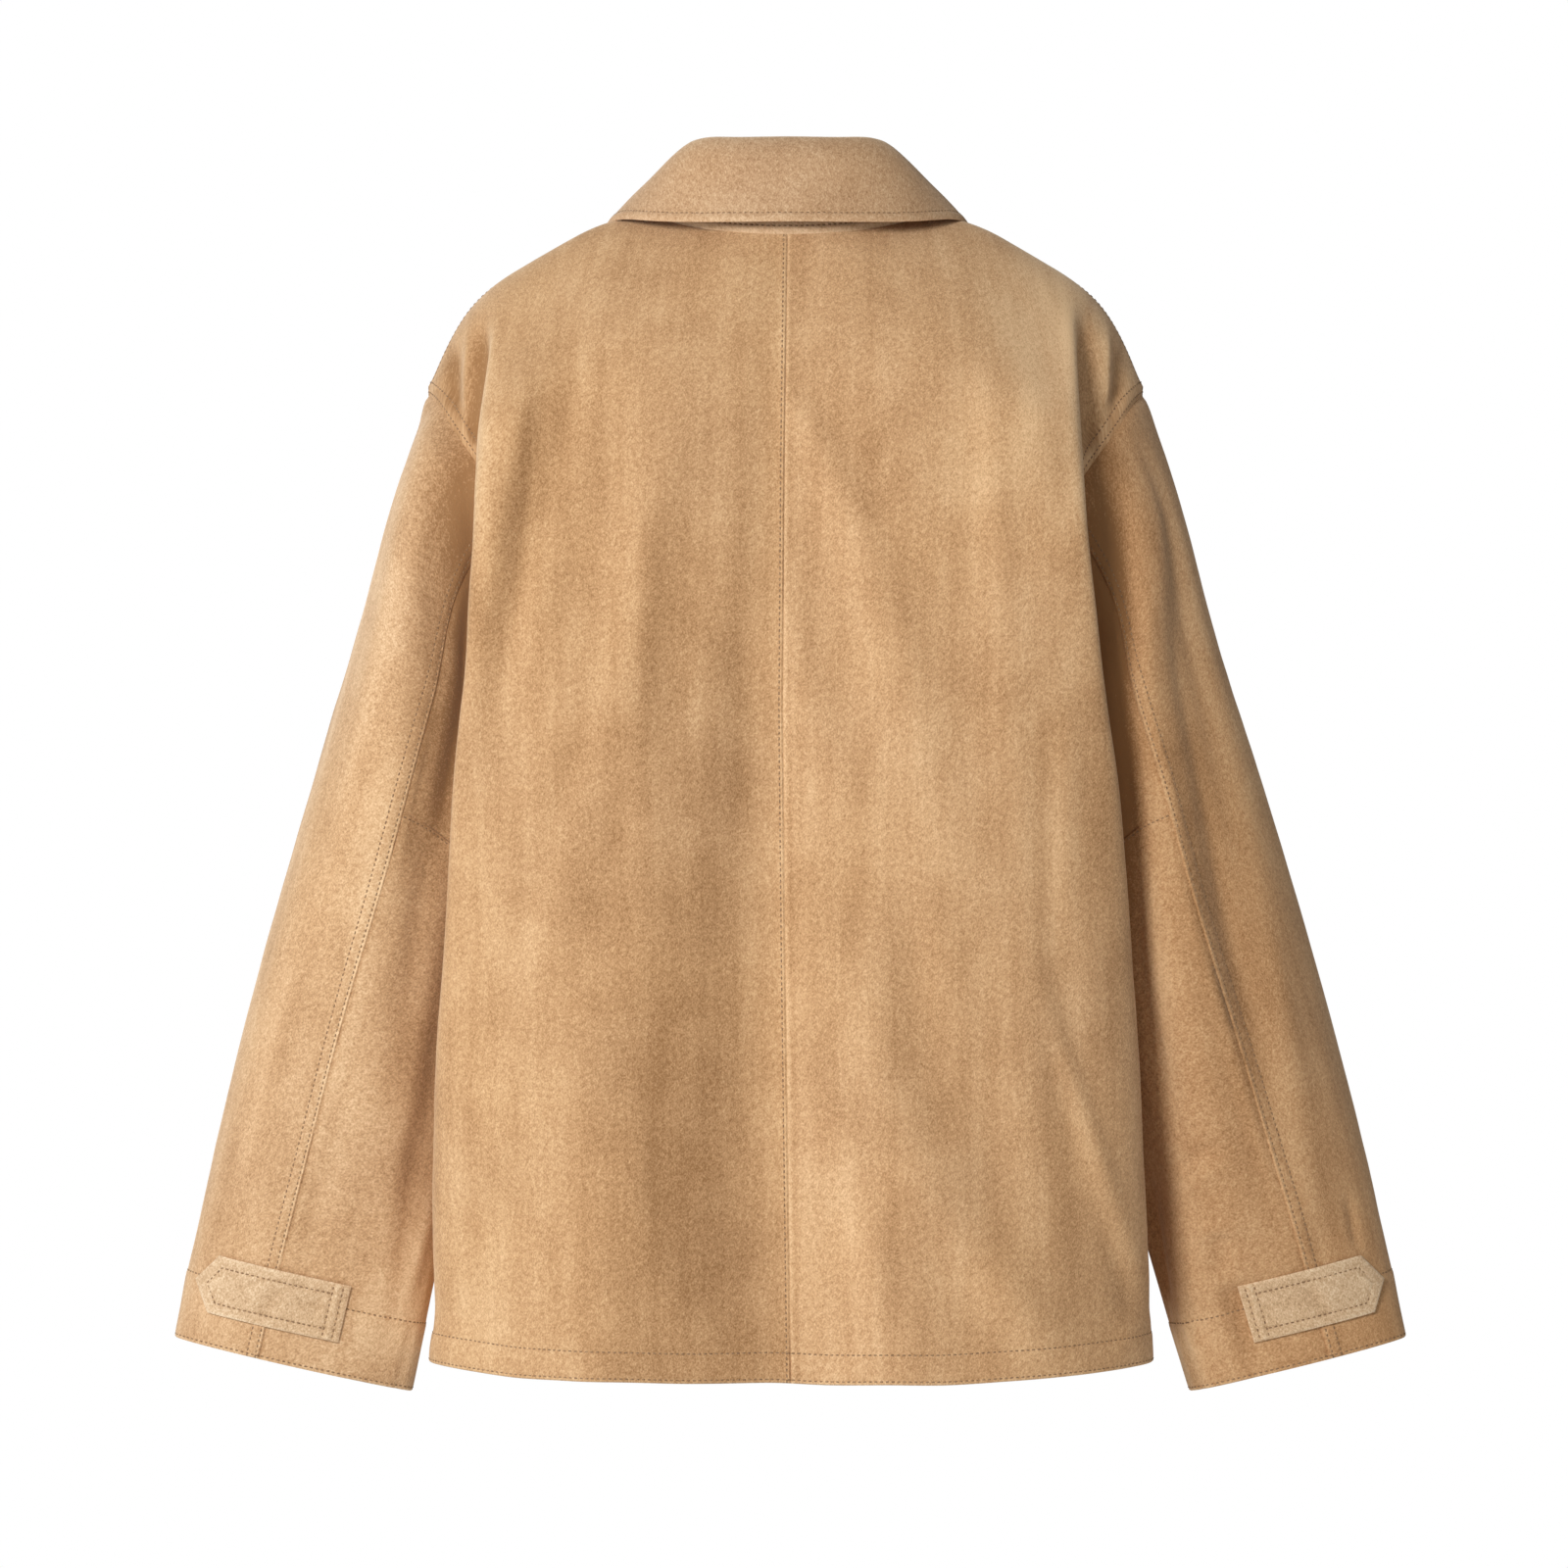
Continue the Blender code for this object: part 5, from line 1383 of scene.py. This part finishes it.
    if at_cuff:
        for row in (CUFF_EDGE_ROW, CUFF_DEPTH):
            sew("sleeves", -row, -to_cuff, wall, 0)
    if top:
        for row in BACK_SEAM_ROWS:
            sew("sleeves", -row, -to_last, wall, 1)
    elif not at_head:
        sew("sleeves", ELBOW_ROW, from_start, wall, 0)


def armhole_share(turn):
    """The start of the sleeve, at every turn."""
    return 0.0 * turn


def cuff_share(turn):
    """The end of the sleeve, at every turn."""
    return 0.0 * turn + 1.0


SLEEVE_PARTS = (
    ("sleeve_top_", (-1.0, BACK_SEAM), armhole_share, cuff_share),
    ("sleeve_under_upper_", (BACK_SEAM, 1.0), armhole_share, elbow_share),
    ("sleeve_under_lower_", (BACK_SEAM, 1.0), elbow_share, cuff_share),
)
for sleeve_word, sleeve_hand, sleeve_creases in (("left", 1, LEFT_SLEEVE_CREASES),
                                                 ("right", -1, RIGHT_SLEEVE_CREASES)):
    for part_name, part_turns, part_start, part_end in SLEEVE_PARTS:
        sleeve_part(part_name + sleeve_word, sleeve_hand, part_turns, part_start, part_end,
                    sleeve_creases)

# %% [markdown]
# ## Collar
# The stand holds the fall up against the neck. A row of stitches runs
# along the stand above the neck seam, and another follows the fall's edge
# and both its points.

# %% Make the stand and the fall
STAND_ROW = 4.8
FALL_ROW = 5.4


def keep_ends_apart(grid, share, clearance):
    """Hold each half of the collar on its own side of the centre front."""
    grid[..., 0] = np.where(share < 0, np.minimum(grid[..., 0], -clearance),
                            np.maximum(grid[..., 0], clearance))


def collar_stand():
    """The stand, with a row of stitches a little above the neck seam."""
    places = np.linspace(-1.0, 1.0, 900)
    arc = arc_lengths(collar_line(0, places), 0)
    share = lines_on(places, arc, 2.6)
    rises = np.linspace(0.0, 1.0, 200)
    rise = lines_on(rises, arc_lengths(stand_grid(np.zeros(1), rises)[:, 0], 0), 2.6, (STAND_ROW,))
    base = stand_grid(share, rise)
    normals = stand_facing(share, rise)
    foot = mitred(normals[0], neck_facing(share))
    from_first, to_last, from_neck, to_roll = distances(base)
    normals = toward(normals, foot, near_edge(from_neck))
    keep_ends_apart(base, share, STAND_END_CLEARANCE)
    overlap_seams(base, "first_row")
    lift = ledge(from_neck, STAND_ROW + 1.5, 0.35, 2.0) - groove(from_neck, STAND_ROW, 0.35, 0.8)
    lift = lift + 0.25 * rumple(from_first, from_neck, 9.0, 40.0, 91)
    ends = nearest(from_first, to_last, from_neck, to_roll)
    outer, inner = wall = cloth_wall(base, normals, SUEDE, lift, ends)
    # painted light on the stand's lower part, lifting the shade under the fall, and a thin lighter
    # line along the neck seam
    tone = 0.28 * smooth_step((16.0 - from_neck) / 8.0) + 0.08 * bell(from_neck, 1.5)
    cut = np.stack((from_first, from_neck), axis=-1)
    put_wall("collar_stand_suede", outer, inner, cut, tone, collar_suede, "collar_stand")
    sew("collar", STAND_ROW, from_neck, wall, 0)


def collar_fall():
    """The fall, with a topstitched edge and points."""
    places = np.linspace(-1.0, 1.0, 900)
    arc = arc_lengths(collar_line(2, places), 0)
    share = lines_on(places, arc, 2.4, (FALL_ROW, -FALL_ROW))
    downs = np.linspace(0.0, 1.0, 300)
    depth = arc_lengths(fall_grid(np.zeros(1), downs)[:, 0], 0)
    down = lines_on(downs, depth, 2.2, (-FALL_ROW,))
    base = fall_grid(share, down)
    keep_ends_apart(base, share, FALL_END_CLEARANCE)
    normals = unit(np.cross(np.gradient(base, axis=1), np.gradient(base, axis=0)))
    from_first, to_last, from_start, to_edge = distances(base)
    ends = nearest(from_first, to_last, from_start, to_edge)
    sides = nearest(from_first, to_last, to_edge)
    ripple = soft_rumple(from_first, from_start * 2.0, 95) * 0.45
    rise = COLLAR_CLOTH + ripple * smooth_step(from_start / 18.0)
    base = base + normals * rise[..., None]
    lift = ledge(sides, 7.0, 0.45, 2.0) - groove(sides, FALL_ROW, 0.5, 0.8)
    lift = lift + 0.35 * rumple(from_first, sides, 6.5, 40.0, 97) * bell(sides - 4.0, 4.0)
    outer, inner = wall = cloth_wall(base, normals, COLLAR_CLOTH, lift, ends)
    tone = 0.18 * bell(to_edge, 2.0) + 0.05 * ripple + 0.12 * bell(from_start - 5.0, 5.0)
    cut = np.stack(((from_first - to_last) / 2, from_start), axis=-1)
    put_wall("collar_fall_suede", outer, inner, cut, tone, collar_suede, "collar_fall")
    inside = (from_first[-1] > FALL_ROW) & (to_last[-1] > FALL_ROW)
    sew("collar", -FALL_ROW, -to_edge, wall, 0, inside)
    lower = to_edge[:, 0] > FALL_ROW
    sew("collar", FALL_ROW, from_first, wall, 1, lower & (from_start[:, 0] > 12))
    sew("collar", -FALL_ROW, -to_last, wall, 1, lower & (from_start[:, -1] > 12))


collar_stand()
collar_fall()

# %% [markdown]
# ## Cuff tabs
# A pointed strap lies on the back of each cuff. It is sewn down all round,
# and two short rows cross its inner end, with a soft ridge between them.

# %% Make the tabs
TAB_ROW = 6.8
TAB_TIP_ROW = 7.6
TAB_END_ROWS = (4.5, 10.5)


def tab_surface(reach, across, hand):
    """Place and normal on the cuff for a place on the flat tab, in millimetres.

    The angle round the cuff is the arc cosine of the reach over half the
    sleeve's width, and a table turns it into the sleeve's own turn.
    """
    above = TAB_RISE + TAB_WIDTH / 2 + across
    along = 1.0 - above / SLEEVE_LENGTH
    outer_x, outer_z, inner_x, inner_z = SLEEVE_RINGS[-1][1:5]
    half_width = math.hypot(outer_x - inner_x, outer_z - inner_z) / 2
    angle = np.arccos((TAB_INNER_END + reach) / half_width)
    turns = np.linspace(0.0, 1.0, 401)
    angles = math.pi * turns + BACK_SEAM_TURN_AT_CUFF * np.sin(math.pi * turns) ** 2
    turn = np.interp(angle, angles, turns).ravel()
    points = sleeve_grid(turn, along.ravel()[None], hand)[0]
    normals = sleeve_facing(turn, along.ravel()[None], hand)[0]
    return points.reshape(reach.shape + (3,)), normals.reshape(reach.shape + (3,))


def tab_relief(reach, across, to_tip, seed):
    """Ridge between the two inner rows, grooves under the rows, and soft puckers."""
    edge = nearest(TAB_WIDTH / 2 - np.abs(across), to_tip)
    ridge = 0.5 * bell(reach - 7.3, 1.9)
    grooves = groove(edge, TAB_ROW, 0.45, 0.9) * (reach > 4.0)
    grooves = grooves + sum(groove(reach, row, 0.4, 0.8) for row in TAB_END_ROWS)
    puckers = 0.8 * rumple(reach + 0.3 * across, across, 9.0, 19.0, seed) * bell(across, 13.0)
    return ridge - grooves + puckers * smooth_step((reach - 11.0) / 6.0)


def cuff_tab(name, hand):
    """The tab's grid, whose rows run along it and shorten towards its edges, and its stitches."""
    length_share = np.linspace(0.0, 1.0, 84)
    width_share = np.linspace(-1.0, 1.0, 35)
    long_share, cross_share = np.meshgrid(length_share, width_share, indexing="ij")
    longest = TAB_LENGTH - TAB_POINT * np.abs(cross_share)
    reach, across = long_share * longest, cross_share * TAB_WIDTH / 2
    points, normals = tab_surface(reach, across, hand)
    base = points + normals * (TAB_CLEARANCE + TAB_THICKNESS)
    slope = TAB_WIDTH / 2 / math.hypot(TAB_WIDTH / 2, TAB_POINT)
    to_tip = (longest - reach) * slope
    lift = tab_relief(reach, across, to_tip, 101 if hand > 0 else 107)
    ends = nearest(reach, to_tip, TAB_WIDTH / 2 - np.abs(across))
    base, normals = base * (hand, 1, 1), normals * (hand, 1, 1)
    outer, inner = cloth_wall(base, normals, TAB_THICKNESS, lift, ends)
    # rubbed edges are lighter; the tone also follows the relief: painted light on the raised parts
    # and painted shade in the grooves and dips
    tone = 0.18 * bell(ends, 1.6) + 0.2 * np.clip(lift, -0.6, 0.9)
    cut = np.stack((reach, across), axis=-1)
    put_wall(name + "_suede", outer, inner, cut, tone, tab_suede, name)

    def row(reaches, acrosses):
        reaches, acrosses = np.array(reaches, float), np.array(acrosses, float)
        place = np.linspace(0.0, len(reaches) - 1.0, 160)
        knots = np.arange(len(reaches))
        x, y = np.interp(place, knots, reaches), np.interp(place, knots, acrosses)
        spot, out = tab_surface(x, y, hand)
        spot = spot + out * (TAB_CLEARANCE + TAB_THICKNESS - 0.3)
        stitch_rows["sleeves"].append([spot * (hand, 1, 1), out * (hand, 1, 1)])

    aside, tip = TAB_WIDTH / 2 - TAB_ROW, TAB_LENGTH - TAB_TIP_ROW
    shoulder = tip - TAB_POINT * aside / (TAB_WIDTH / 2)
    row((11.0, shoulder, tip, shoulder, 11.0), (-aside, -aside, 0.0, aside, aside))
    half = TAB_WIDTH / 2 - 1.5
    for end_row in TAB_END_ROWS:
        row((end_row, end_row), (-half, half))


cuff_tab("cuff_tab_left", 1)
cuff_tab("cuff_tab_right", -1)

# %% [markdown]
# ## Buttons
# Six plain horn buttons close the front. Each is a turned disc with a
# raised rim and four holes, and the thread crosses between the holes.

# %% Make the buttons
HOLE_REACH = 2.6
HOLE_RADIUS = 1.15
HOLE_DEPTH = 1.5
# Radii of the rings across the button's flat middle, where its holes are
MIDDLE_RADII = (5.0, 4.4, 3.9, 3.4, 2.9, 2.4, 1.9, 1.4, 0.8, 0.0)
AROUND_BUTTON = 40


def front_button(number, level):
    """Turned disc: rings of a profile, less four round dips for the holes."""
    here = np.array((level,))
    centre = body_grid("front", np.zeros(1), here)[0, 0]
    out = body_facing("front", np.zeros(1), here)[0, 0]
    sideways = np.array((1.0, 0.0, 0.0))
    up = np.cross(sideways, out)
    low, top = BUTTON_CLEARANCE, BUTTON_CLEARANCE + BUTTON_HEIGHT
    edge, middle, rounding = BUTTON_RADIUS, top - BUTTON_DISH, BUTTON_ROUNDING
    profile = np.array((
        (0.0, low), (4.0, low), (edge - rounding, low), (edge - 0.4, low + 0.4),
        (edge, low + rounding), (edge, top - rounding), (edge - 0.35, top - 0.5),
        (edge - 1.2, top), (edge - 2.2, top),
        (edge - 3.0, top - 0.4), (edge - 3.8, top - 0.9),
    ) + tuple((radius, middle) for radius in MIDDLE_RADII))
    angles = np.linspace(0.0, 2 * math.pi, AROUND_BUTTON, endpoint=False)
    ring_x = profile[:, :1] * np.cos(angles)
    ring_y = profile[:, :1] * np.sin(angles)
    height = np.repeat(profile[:, 1:], AROUND_BUTTON, axis=1)
    holes = np.array(((1, 1), (-1, 1), (-1, -1), (1, -1))) * HOLE_REACH / math.sqrt(2)
    gap = np.hypot(ring_x[..., None] - holes[:, 0], ring_y[..., None] - holes[:, 1]).min(axis=-1)
    on_top = height > top - 1.5
    height = height - HOLE_DEPTH * smooth_step((HOLE_RADIUS - gap) / 0.5) * on_top
    points = (centre + ring_x[..., None] * sideways - ring_y[..., None] * up
              + height[..., None] * out)
    rows, columns = ring_x.shape
    index = np.arange(rows * columns).reshape(rows, columns)
    index[0], index[-1] = index[0, 0], index[-1, 0]
    following = np.roll(index, -1, axis=1)
    quads = np.stack((index[:-1], following[:-1], following[1:], index[1:]), axis=-1)
    used, quads = np.unique(quads.reshape(-1, 4), return_inverse=True)
    piece = put_mesh("button_%d_horn" % number, swayed(points.reshape(-1, 3)[used]),
                     quads.reshape(-1, 4), horn)
    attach(piece, "root")
    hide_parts("button_%d" % number)
    share = np.linspace(0.0, 1.0, 12)[:, None]
    for first, last in ((0, 2), (1, 3)):
        flat = holes[first] * (1 - share) + holes[last] * share
        spot = (centre + flat[:, :1] * sideways - flat[:, 1:] * up
                + (top - 0.7 + 0.2 * np.sin(math.pi * share)) * out)
        stitch_rows["collar"].append([spot, np.repeat(out[None], 12, axis=0)])


for button_number, button_level in enumerate(np.linspace(TOP_BUTTON_LEVEL, LOW_BUTTON_LEVEL,
                                                         BUTTON_COUNT)):
    front_button(button_number + 1, float(button_level))
print("buttons:", BUTTON_COUNT)

# %% [markdown]
# ## Stitches
# A sewing machine leaves one short raised stitch after another, with its
# ends sunk into the cloth. Thousands of them show, so each is only sixteen
# triangles: two rings of four points and a sunken tip at either end.

# %% Make every stitch along the kept rows
STITCH_PITCH = 3.4
STITCH_LENGTH = 2.6
STITCH_HEIGHT = 0.34
STITCH_WIDTH = 0.48


def stitches_along(path, normals, jitter):
    """Points of the stitches on one row: ten each, (stitch, 10, xyz).

    Middles come every pitch along the path. A ring of four points lies a
    quarter length before and after the middle, and a tip half a length.
    """
    arc = arc_lengths(path, 0)
    count = max(int(arc[-1] / STITCH_PITCH), 1)
    middles = (np.arange(count) + 0.5) * arc[-1] / count

    def at(values, places):
        return np.stack([np.interp(places, arc, values[:, axis]) for axis in range(3)], axis=1)

    middle = at(path, middles)
    ahead = at(path, middles + 0.8) - at(path, middles - 0.8)
    ahead = unit(ahead + 1e-9)
    out = unit(at(normals, middles))
    aside = unit(np.cross(out, ahead))
    ahead = unit(ahead + aside * jitter.normal(0.0, 0.05, (count, 1)))
    out = np.cross(ahead, aside)
    length = STITCH_LENGTH * jitter.uniform(0.92, 1.05, (count, 1))
    rings = []
    for sign in (-1, 1):
        centre = middle + ahead * sign * length * 0.27 + out * 0.08
        rings += [centre + out * STITCH_HEIGHT, centre + aside * STITCH_WIDTH,
                  centre - out * STITCH_HEIGHT, centre - aside * STITCH_WIDTH]
    tips = [middle + ahead * sign * length * 0.5 - out * 0.3 for sign in (-1, 1)]
    return np.stack(rings + tips, axis=1)


around = np.arange(4)
turned = (around + 1) % 4
STITCH_QUADS = np.concatenate((
    np.stack((around, turned, turned + 4, around + 4), axis=1),
    np.stack((turned, around, around * 0 + 8, around * 0 + 8), axis=1),
    np.stack((around + 4, turned + 4, around * 0 + 9, around * 0 + 9), axis=1)))
for stitch_group, kept_rows in stitch_rows.items():
    chance = np.random.default_rng(5)
    stitches = np.concatenate([stitches_along(*kept, chance) for kept in kept_rows])
    stitch_points = swayed(stitches.reshape(-1, 3))
    offsets = np.arange(len(stitches))[:, None, None] * 10
    stitch_quads = (STITCH_QUADS + offsets).reshape(-1, 4)
    sewn_piece = put_mesh("stitches_" + stitch_group, stitch_points, stitch_quads, thread)
    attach(sewn_piece, "root")
    print("stitches_%s: %d stitches, %d triangles"
          % (stitch_group, len(stitches), 16 * len(stitches)))

# %% [markdown]
# ## What each piece was cut from
# A cutter lays each piece flat. Its flat size is the longest way along it
# and the widest way across it, and its area is smaller than that rectangle
# because necks and armholes are cut out of it.

# %% [markdown]
# ## Floor, light and camera
# The jacket floats at the height where a wearer would carry it, over a
# pale floor. A soft light behind the wearer's left shoulder shapes the
# folds, a cooler one lights the left side, a third lights the front, and an
# even pale surround fills the shadows. The camera looks straight at the
# back through a long lens, so the sides of the sleeves aren't drawn out.

# %% Set up the floor, the light and the camera
FLOOR_HEIGHT = -1.48
FLOOR_GLOW = 0.4
SURROUND_LIGHT = 0.27


def seen_strength(tree, seen, unseen, wanted):
    """Drive an input with one strength for the camera and another for all other rays."""
    ray = node(tree, "LightPath")
    strength = node(tree, "Math", ((1, seen - unseen), (2, unseen)), operation="MULTIPLY_ADD")
    tree.links.new(ray.outputs["Is Camera Ray"], strength.inputs[0])
    tree.links.new(strength.outputs["Value"], wanted)


floor_angles = np.linspace(0.0, 2 * math.pi, 96, endpoint=False)
floor_mesh = bpy.data.meshes.new("floor")
floor_points = np.stack((5.0 * np.cos(floor_angles), 5.0 * np.sin(floor_angles),
                         0.0 * floor_angles + FLOOR_HEIGHT), axis=1)
floor_mesh.from_pydata(floor_points.tolist(), [], [tuple(range(96))])
floor = bpy.data.objects.new("floor", floor_mesh)
bpy.context.collection.objects.link(floor)
floor_finish, floor_tree, floor_shader = new_finish("pale_floor")
fill(floor_shader, (("Base Color", (0.86, 0.86, 0.85, 1.0)), ("Roughness", 0.8),
                    ("Emission Color", (1.0, 1.0, 0.99, 1.0))))
seen_strength(floor_tree, FLOOR_GLOW, 0.0, floor_shader.inputs["Emission Strength"])
floor_mesh.materials.append(floor_finish)
floor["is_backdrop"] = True


def aim(thing, target):
    """Turn a light or camera so that its −Z axis points at a target."""
    direction = np.array(target, float) - np.array(thing.location, float)
    across, along, up = unit(direction)
    thing.rotation_euler = (math.pi / 2 + math.asin(up), 0.0, math.atan2(-across, along))


def soft_light(name, place, size, power, colour=(1.0, 1.0, 1.0), target=(0.0, 0.0, -0.35)):
    """Square area light aimed at the jacket's middle."""
    lamp = bpy.data.lights.new(name, "AREA")
    lamp.shape = "SQUARE"
    lamp.size = size
    lamp.energy = power
    lamp.color = colour
    made = bpy.data.objects.new(name, lamp)
    made.location = place
    bpy.context.collection.objects.link(made)
    aim(made, target)
    return made


soft_light("key_light", (1.18, 2.98, 0.60), 0.8, 72.0)
soft_light("side_light", (3.14, 0.82, 0.31), 1.2, 31.0, (0.92, 1.0, 1.12))
soft_light("front_light", (1.2, -3.0, 0.8), 2.0, 54.0)

world = bpy.data.worlds.new("pale_surround")
world.use_nodes = True
surround = world.node_tree.nodes["Background"]
surround.inputs["Color"].default_value = (1.0, 1.0, 1.0, 1.0)
seen_strength(world.node_tree, 1.0, SURROUND_LIGHT, surround.inputs["Strength"])
bpy.context.scene.world = world
bpy.context.scene.view_settings.view_transform = "Standard"

camera = bpy.data.cameras.new("camera")
camera.sensor_width = 36.0
camera.lens = 168.75
camera.clip_start = 0.05
camera_object = bpy.data.objects.new("camera", camera)
camera_object.location = (0.0024, 4.52, -0.3432)
camera_object.rotation_euler = (math.pi / 2, 0.0, math.pi)
bpy.context.collection.objects.link(camera_object)
bpy.context.scene.camera = camera_object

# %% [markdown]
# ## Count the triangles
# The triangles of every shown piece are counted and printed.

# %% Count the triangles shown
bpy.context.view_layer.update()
triangles = sum(len(p.data.loop_triangles) or sum(len(f.vertices) - 2 for f in p.data.polygons)
                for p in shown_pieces() if p.type == "MESH")
print("triangles shown:", triangles)
